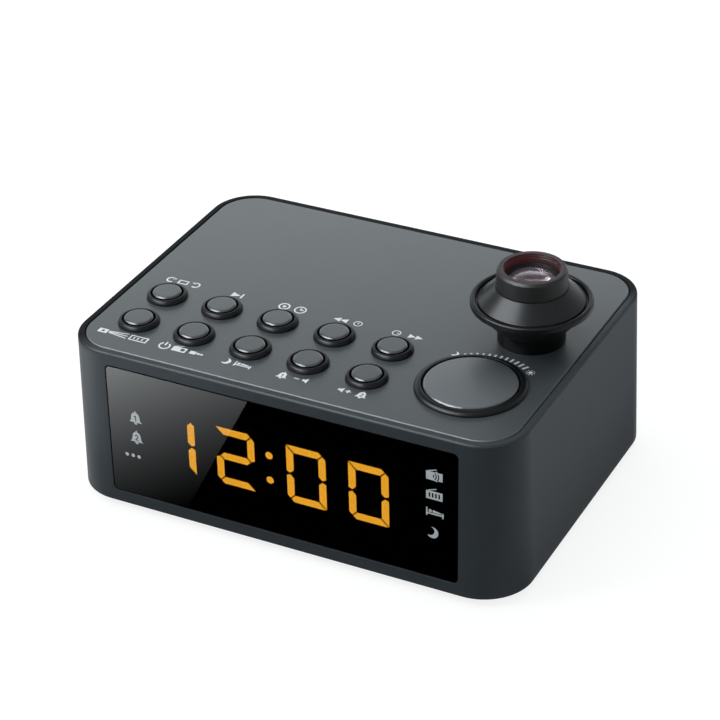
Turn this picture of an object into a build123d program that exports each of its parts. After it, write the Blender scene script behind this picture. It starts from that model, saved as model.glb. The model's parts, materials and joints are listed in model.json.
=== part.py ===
"""Projection alarm clock: a rounded case with a flush display window, ten round keys, a large snooze key
and a swivelling, tilting projector on top.

Millimetres. X runs along the front, the display faces -Y, +Z is up. The origin is on the table, under
the middle of the case. Heights on the top panel are counted from its upper face.
"""
import math
import os

from build123d import *

# ---------------------------------------------------------------- case
case_width = 173.6            # at the lower edge
case_depth = 127.6
case_height = 60.5
corner_radius = 18.0          # vertical corners, at the lower edge
case_draft = 1.5              # degrees: the walls lean in towards the top
case_wall = 2.4
edge_radius = 1.1             # rounding of the upper outer edge
rim_width = 2.6               # flat rim around the top panel
rim_gap = 0.35                # dark line between rim and panel
rim_chamfer = 0.3
ledge_width = 3.0             # shelf that carries the top panel
ledge_thickness = 1.8
panel_thickness = 2.2
foot_height = 3.0             # what the rubber feet stand proud
foot_radius = 6.0
foot_recess = 0.6
foot_inset = 19.0             # from the case's outside to a foot's centre
seat_gap = 0.1                # between pieces of the case that are slid or dropped together
slide_fit = 0.05              # radial clearance of a running fit

# ---------------------------------------------------------------- display
window_width = 134.4
window_height = 51.0
window_corner = 2.0
window_thickness = 2.0
window_sill = 4.7             # from the case's lower edge to the window
window_gap = 0.12
window_ledge = 1.6            # width of the seat behind the window's edge
frame_border = 3.0            # inner frame outside the window pocket
frame_depth = 2.5             # inner frame behind the window
reflector_gap = 0.3
reflector_depth = 9.0
reflector_wall = 1.5
reflector_inset = 2.6         # from the window's edge to the reflector's
board_thickness = 1.6
display_post_out = 2.0        # from the window's edge to the middle of a board post
display_board_over = 5.2      # board beyond the window's edge, left and right
digit_height = 22.9
digit_width = 15.0
digit_step = 23.6             # between the two digits of a pair
hours_gap = 13.2              # from the colon to the middle of the nearest hours digit
minutes_gap = 14.2
digit_rise = -0.6             # digits' middle above the window's middle
digit_cut = 2.6               # 45 degree cut at two of a digit's outer corners
bar_width = 2.7
bar_gap = 0.5                 # between two neighbouring bars
bar_blunt = 0.6               # how much the outer flank of a bar's inner tip falls back
bar_depth = 2.0
bar_fit = 0.05
colon_x = -4.4
colon_radius = 1.4
colon_spread = 10.0           # between the two dots
light_hole_radius = 0.9

# ---------------------------------------------------------------- keys
key_columns = 5
key_pitch = 22.37
key_row_middle = -22.0        # x of the third column
key_front_inset = 24.25       # from the case's front to the first row
key_row_step = 19.5           # between the two rows
key_radius = 5.28
key_rise = 2.4                # top of a key above the panel
key_edge = 0.8                # rounding of a key's edge
key_travel = 1.2
key_gap = 0.45                # radial, between key and collar
collar_foot = 7.45
collar_rise = 1.8
collar_rim = 0.65             # flat top of a collar
collar_sleeve = 0.9           # wall of the collar's sleeve through the panel
collar_drop = 1.0             # sleeve below the panel's underside
collar_bulge = 0.35           # how far the collar's flank leans in at its shoulder
collar_shoulder = 0.62        # height of that shoulder, as a share of the collar's rise
key_skirt = 1.3               # wall of a key
key_roof = 1.4
flange_width = 0.75           # a key's flange beyond the collar's bore
flange_thickness = 1.0
snooze_x = 56.8
snooze_inset = 33.8           # from the case's front to the key's middle
snooze_radius = 16.1
snooze_rise = 1.9
snooze_crown = 0.5
snooze_gap = 0.6
snooze_foot = 19.2
snooze_collar_rise = 1.7
snooze_collar_rim = 0.8
snooze_stem_circle = 9.0
stem_count = 3
stem_radius = 1.8
stem_reach = 0.8              # stem below the key's flange
dome_height = 2.2             # of a silicone dome
dome_radius = 4.0
dome_top = 2.6
dome_wall = 0.7
mat_thickness = 0.8
mat_inset = 0.6               # from the key board's edge to the mat's
mat_post_gap = 0.4
board_margin = 1.8            # key board beyond keys and posts
board_clear = 2.5             # between the display board and the key board
corner_post_gap = 2.4         # between the snooze key's flange and the post behind it
corner_post_angle = 44.0
post_radius = 2.6
pilot_radius = 1.0
pilot_spare = 1.5             # pilot hole beyond the screw's tip
screw_shank = 0.8
screw_head = 2.4
screw_head_height = 1.2
screw_length = 4.0
short_screw_length = 2.0

# ---------------------------------------------------------------- projector (heights from the top panel)
projector_x = 62.6
projector_inset = 71.1        # from the case's front to the projector's middle
neck_radius = 11.85
neck_height = 5.6
neck_edge = 0.5
hub_radius = 10.6
clip_thickness = 1.0
clip_width = 2.0              # clip outside the hub
clip_grip = 2.2               # clip under the hub
pivot_height = 4.2
ball_radius = 9.6
ball_wall = 1.4
socket_gap = 0.3
tilt_limit = 25.0             # degrees each way, shapes the pocket over the neck
tilt_spare = 4.0              # degrees left between the tilted saucer and the neck
pocket_gap = 0.35
pocket_skirt = 10.0           # elevation of the pocket's lower lip, degrees
floor_spare = 0.4             # floor above the pocket's dome
wire_hole = 3.0
pin_radius = 0.9
pin_cover = 0.4               # neck wall outside a pin's end
pin_inset = 0.6               # pin inside the ball's wall
saucer_radius = 20.5
saucer_lip = 1.6
rim_radius = 21.2
rim_low = 13.9
rim_height = 2.1
rim_round = 0.8
rim_inner = 19.3
rim_seat = 0.75               # saucer's edge thickness
cone_foot = 18.6
cone_rise = 6.25              # from the rim's seat to the cone's top
cone_edge = 0.9               # upright edge at the cone's foot
cone_round = 0.6
cone_wall = 1.6
cone_neck = 2.6               # length of the barrel's bearing
barrel_ledge = 0.3            # cone's top beyond the barrel
barrel_foot = 12.5
barrel_top = 12.1
barrel_bore = 9.5
barrel_height = 6.6
barrel_steps = 2              # rings inside the barrel's mouth
barrel_step_width = 0.18
barrel_step_height = 0.75
barrel_bevel = 0.6
barrel_bevel_drop = 0.9
spigot_radius = 10.4
spigot_lip = 0.5
spigot_lip_height = 0.4
cell_gap = 0.3
cell_above = 1.0              # lens cell above and below the lens edge
cell_below = 3.2
cell_shelf = 0.9
lens_depth = 3.9              # from the barrel's top to the lens's edge
lens_radius = 8.3
lens_bulge = 1.5
lens_edge = 1.6
lens_under = 1.0              # narrower dome under the lens
retainer_width = 0.55
retainer_height = 0.7
slide_width = 15.0
slide_depth = 11.0
slide_thickness = 1.5
condenser_edge = 1.2
condenser_bulge = 1.8
condenser_step = 0.3
led_radius = 2.5
led_height = 4.0
led_flange = 0.4
led_board_over = 2.5          # board beyond the LED
led_board_thickness = 1.0

# ---------------------------------------------------------------- base, battery well, speaker
base_thickness = 2.2
case_screw_hole = 1.5
case_screw_shank = 0.9
case_screw_head = 2.9
case_screw_head_height = 1.0
case_screw_length = 9.0
case_post_radius = 3.4
case_post_edge = 1.0          # between a screw head and the wall
post_web = 3.0                # rib between a corner post and the wall
vent_slots = 6
vent_length = 22.0
vent_width = 1.8
vent_pitch = 5.0
battery_x = 30.0
battery_inset = 34.4          # from the case's front to the cell's middle
cell_radius = 10.0
cell_thickness = 3.2
cell_round = 0.35
cell_room = 1.2               # around the cell
cell_headroom = 0.4
well_roof = 1.6
well_wall = 1.8
door_radius = 13.0
door_gap = 0.3
door_disc = 1.9
door_slot_length = 14.0
door_slot_width = 1.8
door_slot_depth = 0.9
lug_reach = 1.4
lug_root = 1.0                # lug inside the door's edge
lug_thickness = 1.1
lug_span = 24.0               # degrees of arc per lug
notch_spare = 6.0             # degrees a notch is wider than a lug
lug_count = 3
door_unlock = 50.0            # degrees from locked to free
contact_thickness = 0.3
contact_width = 5.0
contact_length = 12.0
contact_tail_x = -2.5
contact_tail_rise = 2.0       # above the well
contact_slit = 1.0
foot_round = 0.8
speaker_x = -44.0
speaker_y = 16.0
speaker_radius = 28.5
speaker_flange = 1.2
speaker_flange_width = 2.5
speaker_height = 18.5
speaker_ring_wall = 2.0
speaker_screw_reach = 1.9     # screw outside the speaker's edge
speaker_post_radius = 2.4
speaker_screw_angles = (90, 210, 330)
magnet_radius = 15.0
magnet_height = 7.0
magnet_edge = 0.8
basket_wall = 1.2
basket_slots = 4
basket_slot_width = 10.0
basket_hole = 6.0             # smaller than the magnet by this
surround_width = 2.8
paper = 0.5
dust_cap_radius = 7.0
grille_hole = 1.1
grille_rings = 5
grille_pitch = 4.6

# ---------------------------------------------------------------- main board and sockets
main_left = -6.0
main_right = 72.0
main_well_gap = 0.9           # between the battery well and the board
main_rear_inset = 6.2         # from the case's rear to the board
main_rise = 4.0               # board above the base plate
main_post_in = 4.0            # from the board's edge to a post
main_post_rear = 8.0
controller = (0.0, 0.0, 16.0, 16.0, 1.6)          # x, y from the board's middle, width, depth, height
amplifier = (20.0, 0.0, 8.0, 6.0, 1.5)
cable_socket = (-20.0, -17.5, 12.0, 5.0, 6.0)
speaker_socket = (14.0, -21.5, 12.0, 5.0, 6.0)
capacitor_radii = (4.0, 3.4, 2.8)
capacitor_heights = (11.0, 9.0, 7.0)
capacitor_pitch = 12.0
capacitor_back = 15.0
capacitor_round = 0.5
resistor_count = 5
resistor_pitch = 6.0
resistor_front = -10.9
resistor_size = (2.0, 1.2, 0.6)
tuner_x = -24.5               # from the board's middle
tuner_y = 3.2
tuner_width = 17.0
tuner_depth = 22.0
tuner_height = 6.0
tuner_wall = 0.4
jack_x = 12.0
jack_bore = 1.8
jack_depth = 14.0
jack_nose = 3.0
jack_body = 8.0
socket_setback = 0.3          # sockets inside the rear wall
socket_root = 1.0             # nose inside its body
inlet_x = 48.0
inlet_bore = 3.0
inlet_wall = 1.0
inlet_pin = 1.0
inlet_depth = 9.0
inlet_body = 10.0
inlet_back = 3.0
aerial_x = 68.0
aerial_hole = 1.1
bushing_neck = 2.5
bushing_flange = 3.5
bushing_flange_thickness = 1.0
cable_left = 8.0              # from the main board's left edge
cable_width = 10.0
cable_thickness = 0.6
cable_rise = 12.0             # start above the window's lower edge
cable_bow = 5.0               # behind the display board
cable_over = 1.0              # above the battery well's height
cable_end = 6.0               # behind the main board's front edge

BOTTOM = (Align.CENTER, Align.CENTER, Align.MIN)
case_bottom = foot_height
case_top = case_bottom + case_height
panel_under = case_top - panel_thickness
window_middle = case_bottom + window_sill + window_height / 2
lean = math.tan(math.radians(case_draft))
front_face = -(case_depth / 2 - case_height * lean)      # y of the front at the top edge
window_back = front_face + window_thickness
board_front = window_back + reflector_gap + reflector_depth


# ---------------------------------------------------------------- helpers
def case_outline(z, inset=0.0):
    """Rounded rectangle of the case at height z, moved in by inset."""
    rise = inset + (z - case_bottom) * lean
    return Pos(0, 0, z) * RectangleRounded(case_width - 2 * rise, case_depth - 2 * rise, corner_radius - rise)


def case_block(z_low, z_high, inset=0.0):
    """Drafted block of the case between two heights."""
    return extrude(case_outline(z_low, inset), z_high - z_low, taper=case_draft)


def disc(radius, z_low, z_high):
    return Pos(0, 0, z_low) * Cylinder(radius, z_high - z_low, align=BOTTOM)


def tube(outer, inner, z_low, z_high):
    return disc(outer, z_low, z_high) - disc(inner, z_low, z_high)


def slab(x_low, x_high, y_low, y_high, z_low, z_high):
    size = (x_high - x_low, y_high - y_low, z_high - z_low)
    middle = ((x_low + x_high) / 2, (y_low + y_high) / 2, (z_low + z_high) / 2)
    return Pos(*middle) * Box(*size)


def dome(radius, z, bulge):
    """Spherical cap that stands on height z, or hangs under it when bulge is negative."""
    rise = abs(bulge)
    ball = (radius**2 + rise**2) / (2 * rise)
    cap_shape = disc(radius, 0, rise) & Pos(0, 0, rise - ball) * Sphere(ball)
    return Pos(0, 0, z) * (cap_shape if bulge > 0 else Rot(180, 0, 0) * cap_shape)


def lathe(*points):
    """Turned piece from an outline of (radius, height) points."""
    return revolve(make_face(Plane.XZ * Polyline(*points, close=True)), Axis.Z)


def group(solids):
    """Loose solids that share one node."""
    return Compound([solid for item in solids for solid in item.solids()])


def rod_y(radius, x, z, y_low, y_high):
    """Round bar along Y."""
    bar = Cylinder(radius, y_high - y_low, align=BOTTOM)
    return Pos(x, y_low, z) * Rot(-90, 0, 0) * bar


def screw(shank, head, length, head_height):
    """Pan-head screw, head upwards, shank down from z = 0."""
    body = disc(shank, -length, 0) + disc(head, 0, head_height)
    body = fillet(body.edges().group_by(Axis.Z)[-1], head_height * 0.4)
    slot = Box(head * 1.2, head * 0.3, head_height)
    cross = slot + Rot(0, 0, 90) * slot
    return body - Pos(0, 0, head_height) * cross


def key_places():
    """(x, y) of the ten keys, front row first, from left to right."""
    left = key_row_middle - key_pitch * (key_columns - 1) / 2
    return [(left + key_pitch * i, y) for y in (key_front_row, key_rear_row) for i in range(key_columns)]


def snooze_stems():
    turns = [math.radians(90 + 360 * i / stem_count) for i in range(stem_count)]
    return [Pos(snooze_x + snooze_stem_circle * math.cos(a), snooze_y + snooze_stem_circle * math.sin(a))
            for a in turns]


# ---------------------------------------------------------------- levels and places
key_front_row = key_front_inset - case_depth / 2
key_rear_row = key_front_row + key_row_step
snooze_y = snooze_inset - case_depth / 2
projector_y = projector_inset - case_depth / 2
battery_y = battery_inset - case_depth / 2
collar_bore = key_radius + key_gap
snooze_bore = snooze_radius + snooze_gap
key_flange = collar_bore + flange_width
snooze_flange = snooze_bore + flange_width
sleeve_low = -panel_thickness - collar_drop
flange_low = sleeve_low - flange_thickness
stem_low = flange_low - stem_reach
mat_top = stem_low - dome_height
key_board_top = mat_top - mat_thickness
pilot_depth = screw_length + pilot_spare
foot_x = case_width / 2 - foot_inset
foot_y = case_depth / 2 - foot_inset
corner_reach = (corner_radius - case_wall - 2 * seat_gap - case_screw_head - case_post_edge) / math.sqrt(2)
screw_x = case_width / 2 - corner_radius + corner_reach
screw_y = case_depth / 2 - corner_radius + corner_reach
base_top = case_bottom + base_thickness
well_groove = door_radius + lug_reach + door_gap
well_outer = well_groove + well_wall
main_low = base_top + main_rise
main_top = main_low + board_thickness
main_front = battery_y + well_outer + main_well_gap
main_rear = case_depth / 2 - main_rear_inset
main_middle_x = (main_left + main_right) / 2
main_middle_y = (main_front + main_rear) / 2
jack_z = main_top + jack_nose + seat_gap
rear_inside = case_depth / 2 - case_wall - (jack_z - case_bottom) * lean
lug_low = case_bottom + door_disc - lug_thickness / 2
lug_high = lug_low + lug_thickness
cell_low = lug_high + door_gap
cell_high = cell_low + cell_thickness
well_top = cell_high + cell_headroom + well_roof
speaker_screw_radius = speaker_radius + speaker_screw_reach


def key_posts():
    """(x, y) of the posts under the top panel that carry the key board."""
    y = (key_front_row + key_rear_row) / 2
    last_key = key_row_middle + key_pitch * (key_columns - 1) / 2
    beside_snooze = (last_key + key_flange + snooze_x - snooze_flange) / 2
    reach = snooze_flange + post_radius + corner_post_gap
    a = math.radians(corner_post_angle)
    corner = (snooze_x + reach * math.cos(a), snooze_y + reach * math.sin(a))
    return [(key_row_middle - 1.5 * key_pitch, y), (key_row_middle + 0.5 * key_pitch, y), (beside_snooze, y), corner]


def key_board_edges():
    """x_low, x_high, y_low, y_high of the key board."""
    corner_x, corner_y = key_posts()[-1]
    left = key_places()[0][0] - key_flange - board_margin
    return (left, corner_x + post_radius + board_margin,
            board_front + board_thickness + board_clear, corner_y + post_radius + board_margin)


# ---------------------------------------------------------------- case pieces
def main_housing():
    """Drafted wall with its rim, panel shelf, window frame and corner posts."""
    shell = case_block(case_bottom, case_top)
    shell = fillet(shell.edges().group_by(Axis.Z)[-1], edge_radius)
    cavity_top = panel_under - ledge_thickness
    shell -= case_block(case_bottom, cavity_top, case_wall)
    opening = case_outline(case_top, rim_width + ledge_width)
    shell -= extrude(opening, -(case_top - case_bottom))
    pocket = extrude(case_outline(case_top, rim_width), -panel_thickness)
    shell -= pocket
    rim_edge = case_outline(case_top, rim_width - rim_chamfer)
    shell -= extrude(rim_edge, -rim_chamfer, taper=45)
    outer_x = window_width / 2 + frame_border
    frame = slab(-outer_x, outer_x, -case_depth / 2, window_back + frame_depth, base_top + seat_gap, panel_under)
    shell += frame & case_block(case_bottom, panel_under)
    shell -= window_cut(window_width + 2 * window_gap, window_height + 2 * window_gap, window_corner, window_back)
    seat = 2 * window_ledge
    shell -= window_cut(window_width - seat, window_height - seat, window_corner / 2, window_back + 2 * frame_depth)
    web = slab(0, corner_radius, -post_web / 2, post_web / 2, base_top, panel_under)
    for x, y in corner_places():
        outward = math.degrees(math.atan2(math.copysign(1, y), math.copysign(1, x)))
        post = Pos(x, y) * (disc(case_post_radius, base_top, panel_under) + Rot(0, 0, outward) * web)
        shell += post & case_block(case_bottom, panel_under, case_wall / 2)
        shell -= Pos(x, y) * disc(pilot_radius, base_top, base_top + case_screw_length + pilot_spare)
    for x, z in display_posts():
        shell += rod_y(post_radius, x, z, window_back + frame_depth / 2, board_front)
        shell -= rod_y(pilot_radius, x, z, board_front - pilot_depth, board_front)
    for radius, x in ((jack_nose, jack_x), (inlet_bore + inlet_wall, inlet_x), (bushing_neck, aerial_x)):
        shell -= rod_y(radius + seat_gap, x, jack_z, rear_inside - case_wall, case_depth)
    return shell


def corner_places():
    return [(x, y) for x in (-screw_x, screw_x) for y in (-screw_y, screw_y)]


def window_cut(width, height, radius, depth_y):
    """Straight cut through the front wall, back to depth_y."""
    face = Plane.XZ * RectangleRounded(width, height, radius)
    return Pos(0, -case_depth, window_middle) * extrude(face, -(depth_y + case_depth))


def display_posts():
    """(x, z) of the four posts that carry the display board."""
    x = window_width / 2 + display_post_out
    z = window_height / 2 - post_radius
    return [(i * x, window_middle + j * z) for i in (-1, 1) for j in (-1, 1)]


def top_panel():
    """Flat panel in the rim, with holes for collars and projector hub and posts for the key board."""
    panel = extrude(case_outline(case_top, rim_width + rim_gap), -panel_thickness)
    panel = chamfer(panel.edges().group_by(Axis.Z)[-1], rim_chamfer)
    through = case_top - panel_thickness * 2
    for x, y in key_places():
        panel -= Pos(x, y) * disc(collar_bore + collar_sleeve + seat_gap, through, case_top)
    panel -= Pos(snooze_x, snooze_y) * disc(snooze_bore + collar_sleeve + seat_gap, through, case_top)
    panel -= Pos(projector_x, projector_y) * disc(hub_radius + slide_fit, through, case_top)
    board_z = case_top + key_board_top
    for x, y in key_posts():
        panel += Pos(x, y) * disc(post_radius, board_z, panel_under)
        panel -= Pos(x, y) * disc(pilot_radius, board_z, board_z + pilot_depth)
    return panel


def display_window():
    """Tinted plate whose front follows the drafted front of the case."""
    plate = case_block(case_bottom, case_top)
    return plate & window_cut(window_width, window_height, window_corner, window_back)


def base_cover():
    """Bottom plate with grille, vents, battery well, speaker ring and board posts."""
    plate = extrude(case_outline(case_bottom, case_wall + seat_gap + base_thickness * lean), base_thickness)
    for x, y in corner_places():
        plate -= Pos(x, y) * disc(case_screw_hole, case_bottom, base_top)
        plate -= Pos(x, y) * disc(case_screw_head + seat_gap, case_bottom, case_bottom + base_thickness / 2)
    for x, y in foot_places():
        plate -= Pos(x, y) * disc(foot_radius + seat_gap, case_bottom, case_bottom + foot_recess)
    for i in range(vent_slots):
        x = main_middle_x + vent_pitch * (i - (vent_slots - 1) / 2)
        plate -= slab(x, x + vent_width, main_middle_y, main_middle_y + vent_length, case_bottom, base_top)
    for x, y in main_post_places():
        plate += Pos(x, y) * disc(post_radius, base_top, main_low)
        plate -= Pos(x, y) * disc(pilot_radius, base_top, main_low)
    plate -= Pos(battery_x, battery_y) * disc(well_outer, case_bottom, base_top)
    return speaker_seat(plate) + battery_well()


def speaker_seat(plate):
    """Adds the speaker's ring and screw posts to the plate and drills the grille."""
    level = base_top + speaker_flange
    seat = tube(speaker_radius + speaker_ring_wall, speaker_radius + seat_gap, base_top, level)
    for angle in speaker_screw_angles:
        seat += Rot(0, 0, angle) * Pos(speaker_screw_radius) * disc(speaker_post_radius, base_top, level)
    seat -= disc(speaker_radius + seat_gap, base_top, level)
    plate += Pos(speaker_x, speaker_y) * seat
    for angle in speaker_screw_angles:
        pilot = disc(pilot_radius, level - short_screw_length, level)
        plate -= Pos(speaker_x, speaker_y) * Rot(0, 0, angle) * Pos(speaker_screw_radius) * pilot
    hole = disc(grille_hole, case_bottom, base_top)
    plate -= Pos(speaker_x, speaker_y) * hole
    for ring in range(1, grille_rings + 1):
        for i in range(6 * ring):
            plate -= Pos(speaker_x, speaker_y) * Rot(0, 0, 60 * i / ring) * Pos(ring * grille_pitch) * hole
    return plate


def battery_well():
    """Turned cup with a groove for the door's lugs, notches to let them in and slits for the contacts."""
    bore = cell_radius + cell_room
    mouth = door_radius + door_gap
    groove_low, groove_high = lug_low - door_gap / 2, lug_high + door_gap
    roof = cell_high + cell_headroom
    well = lathe((0, roof), (bore, roof), (bore, groove_high), (well_groove, groove_high), (well_groove, groove_low),
                 (mouth, groove_low), (mouth, case_bottom), (well_outer, case_bottom), (well_outer, well_top),
                 (0, well_top))
    notch = lug_sector(door_radius, well_groove, lug_span + notch_spare, case_bottom, lug_high)
    for i in range(lug_count):
        well -= Rot(0, 0, door_unlock + 360 * i / lug_count) * notch
    for x in contact_tails():
        well -= slab(x - contact_slit / 2, x + contact_slit / 2, -contact_width / 2 - seat_gap,
                     contact_width / 2 + seat_gap, roof, well_top)
    return Pos(battery_x, battery_y) * well


def contact_tails():
    """x of the two tails, from the cell's middle."""
    return contact_tail_x, cell_radius + cell_room / 2


def foot_places():
    return [(x, y) for x in (-foot_x, foot_x) for y in (-foot_y, foot_y)]


def main_post_places():
    return [(x, y) for x in (main_left + main_post_in, main_right - main_post_in)
            for y in (main_front + main_post_in, main_rear - main_post_rear)]


def lug_sector(inner, outer, span, z_low, z_high):
    """Piece of a ring, centred on +X, that spans the given angle."""
    a = math.radians(span / 2)
    reach = 2 * outer
    wedge = Polyline((0, 0), (reach * math.cos(a), -reach * math.sin(a)),
                     (reach * math.cos(a), reach * math.sin(a)), close=True)
    block = Pos(0, 0, z_low) * extrude(make_face(wedge), z_high - z_low)
    return block & tube(outer, inner, z_low, z_high)


def battery_door():
    """Twist-lock door with a coin slot and three lugs."""
    door = disc(door_radius, case_bottom, lug_high)
    lug = lug_sector(door_radius - lug_root, door_radius + lug_reach, lug_span, lug_low, lug_high)
    for i in range(lug_count):
        door += Rot(0, 0, 360 * i / lug_count) * lug
    slot = Pos(0, 0, case_bottom) * Box(door_slot_length, door_slot_width, 2 * door_slot_depth)
    return Pos(battery_x, battery_y) * (door - slot)


def backup_cell():
    can = disc(cell_radius, cell_low, cell_high)
    return Pos(battery_x, battery_y) * fillet(can.edges(), cell_round)


def battery_contacts():
    """Flat spring above the cell and a side spring, each with a tail through the well."""
    half, thick = contact_width / 2, contact_thickness
    high = well_top + contact_tail_rise
    leaf_x, side_x = contact_tails()
    leaf = slab(-contact_length / 2, contact_length / 2, -half, half, cell_high, cell_high + thick)
    leaf += slab(leaf_x - thick / 2, leaf_x + thick / 2, -half, half, cell_high, high)
    side = slab(side_x - thick / 2, side_x + thick / 2, -half, half, cell_low + thick, high)
    return Pos(battery_x, battery_y) * group([leaf, side])


def rubber_feet():
    foot = fillet(disc(foot_radius, 0, case_bottom + foot_recess).edges().group_by(Axis.Z)[0], foot_round)
    return group([Pos(x, y) * foot for x, y in foot_places()])


def case_screws():
    one = Rot(180, 0, 0) * screw(case_screw_shank, case_screw_head, case_screw_length, case_screw_head_height)
    z = case_bottom + base_thickness / 2
    return group([Pos(x, y, z) * one for x, y in corner_places()])


# ---------------------------------------------------------------- display pieces
def bar_end(corner_cut):
    """Mitred end of a bar as (along, across) points from the digit's outer corner, outer edge first."""
    shift = bar_gap / math.sqrt(2)
    inner = (bar_width + shift, bar_width)
    if not corner_cut:
        return [(shift, 0), inner]
    start = (corner_cut - shift) / 2
    return [(corner_cut, 0), (start + shift, start), inner]


def digit_bars():
    """Faces of the seven bars a to g of one digit, about the digit's middle. The digit's upper left and
    lower right corners are sharp and the other two are cut, so half of the bars are turned copies."""
    right, up = digit_width / 2, digit_height / 2
    half, tip = bar_width / 2, bar_gap / math.sqrt(2)
    sharp, clipped = bar_end(0), bar_end(digit_cut)
    inner = [(bar_width, half + tip), (half, tip), (0, tip + bar_blunt)]
    flank = [(right - half - tip, 0), (right - bar_width - tip, half)]
    outlines = {
        "a": [(along - right, up - across) for along, across in sharp[::-1]]
        + [(right - along, up - across) for along, across in clipped],
        "f": [(across - right, up - along) for along, across in sharp] + [(x - right, y) for x, y in inner],
        "b": [(right - across, up - along) for along, across in clipped] + [(right - x, y) for x, y in inner],
        "g": flank + [(-x, y) for x, y in flank[::-1]] + [(-right + bar_width + tip, -half),
                                                          (right - bar_width - tip, -half)],
    }
    bars = {name: make_face(Polyline(*points, close=True)) for name, points in outlines.items()}
    for name, source in (("d", "a"), ("c", "f"), ("e", "b")):
        bars[name] = Rot(0, 0, 180) * bars[source]
    return bars


def shown_bars():
    """Bars lit in the four digits of 12:00."""
    return "bc", "abged", "abcdef", "abcdef"


def digit_middles():
    """x of the four digits."""
    hours, minutes = colon_x - hours_gap, colon_x + minutes_gap
    return [hours - digit_step, hours, minutes, minutes + digit_step]


def display_solids(pick, grow=0.0):
    """Bars that pick names for each digit, reaching back from the reflector's front."""
    place = Pos(0, window_back + reflector_gap, window_middle + digit_rise)
    bars = digit_bars()
    if grow:
        bars = {name: offset(face, grow, kind=Kind.INTERSECTION) for name, face in bars.items()}
    return [place * Pos(x) * extrude(Plane.XZ * bars[name], bar_depth, dir=(0, 1, 0))
            for index, x in enumerate(digit_middles()) for name in pick(index)]


def colon_dots(grow=0.0):
    y = window_back + reflector_gap
    z = window_middle + digit_rise
    return [rod_y(colon_radius + grow, colon_x, z + side * colon_spread / 2, y, y + bar_depth) for side in (-1, 1)]


def display_reflector():
    """Block behind the window with a pocket for every bar and a light hole behind it."""
    front = window_back + reflector_gap
    half_x = window_width / 2 - reflector_inset
    half_z = window_height / 2 - reflector_inset
    hollow_x, hollow_z = half_x - reflector_wall, half_z - reflector_wall
    block = slab(-half_x, half_x, front, front + reflector_depth, window_middle - half_z, window_middle + half_z)
    block -= slab(-hollow_x, hollow_x, front + 2 * bar_depth, front + reflector_depth,
                  window_middle - hollow_z, window_middle + hollow_z)
    for pocket in display_solids(lambda index: "abcdefg", bar_fit) + colon_dots(bar_fit):
        middle = pocket.center()
        block -= pocket
        block -= rod_y(light_hole_radius, middle.X, middle.Z, front, front + reflector_depth)
    return block


def segments_lit():
    return group(display_solids(lambda index: shown_bars()[index]) + colon_dots())


def segments_dark():
    return group(display_solids(lambda index: [bar for bar in "abcdefg" if bar not in shown_bars()[index]]))


def display_board():
    """Board on the four posts behind the reflector."""
    half_x = window_width / 2 + display_board_over
    half_z = window_height / 2 - seat_gap
    board = slab(-half_x, half_x, board_front, board_front + board_thickness,
                 window_middle - half_z, window_middle + half_z)
    for x, z in display_posts():
        board -= rod_y(pilot_radius + seat_gap, x, z, board_front, board_front + board_thickness)
    return board


# ---------------------------------------------------------------- keys
def cap(radius, rise, flange):
    """Hollow key with a rounded top edge and a flange that stops under the collar."""
    roof = rise - key_roof
    wall = radius - key_skirt
    body = lathe((0, roof), (wall, roof), (wall, flange_low), (flange, flange_low), (flange, sleeve_low),
                 (radius, sleeve_low), (radius, rise), (0, rise))
    return fillet(body.edges().group_by(Axis.Z)[-1], key_edge)


def key(x, y):
    stem = disc(stem_radius, stem_low, key_rise - key_roof)
    return Pos(x, y, case_top) * (cap(key_radius, key_rise, key_flange) + stem)


def snooze_key():
    body = cap(snooze_radius, snooze_rise, snooze_flange)
    body += dome(snooze_radius - key_edge, snooze_rise, snooze_crown)
    body = Pos(snooze_x, snooze_y, case_top) * body
    for place in snooze_stems():
        body += Pos(0, 0, case_top) * place * disc(stem_radius, stem_low, snooze_rise - key_roof)
    return body


def collar(foot, bore, rise, flat):
    """Raised ring around a key, with a sleeve through the panel."""
    shoulder = (foot - collar_bulge, rise * collar_shoulder)
    flank = Spline((foot, 0), shoulder, (bore + flat, rise), tangents=[(0, 1), (-1, 0.15)])
    sides = [(bore + flat, rise), (bore, rise), (bore, sleeve_low), (bore + collar_sleeve, sleeve_low),
             (bore + collar_sleeve, 0), (foot, 0)]
    return revolve(make_face(Plane.XZ * Wire([flank] + [Line(a, b) for a, b in zip(sides, sides[1:])])), Axis.Z)


def key_collars():
    one = collar(collar_foot, collar_bore, collar_rise, collar_rim)
    return group([Pos(x, y, case_top) * one for x, y in key_places()])


def snooze_collar():
    ring = collar(snooze_foot, snooze_bore, snooze_collar_rise, snooze_collar_rim)
    return Pos(snooze_x, snooze_y, case_top) * ring


def key_board():
    left, right, front, rear = key_board_edges()
    top = case_top + key_board_top
    board = slab(left, right, front, rear, top - board_thickness, top)
    for x, y in key_posts():
        board -= Pos(x, y) * disc(pilot_radius + seat_gap, top - board_thickness, top)
    return board


def key_mat():
    """Silicone sheet with a hollow dome under every stem."""
    left, right, front, rear = key_board_edges()
    low = case_top + key_board_top
    base = low + mat_thickness
    top = case_top + stem_low
    mat = slab(left + mat_inset, right - mat_inset, front + mat_inset, rear - mat_inset, low, base)
    for x, y in key_posts():
        mat -= Pos(x, y) * disc(post_radius + mat_post_gap, low, base)
    wall = dome_wall
    button = lathe((0, base), (dome_radius, base), (dome_top, top), (0, top))
    hollow = lathe((0, low), (dome_radius - wall, low), (dome_top - wall, top - wall), (0, top - wall))
    places = [Pos(x, y) for x, y in key_places()] + snooze_stems()
    for place in places:
        mat += place * button
    for place in places:
        mat -= place * hollow
    return mat


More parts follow.
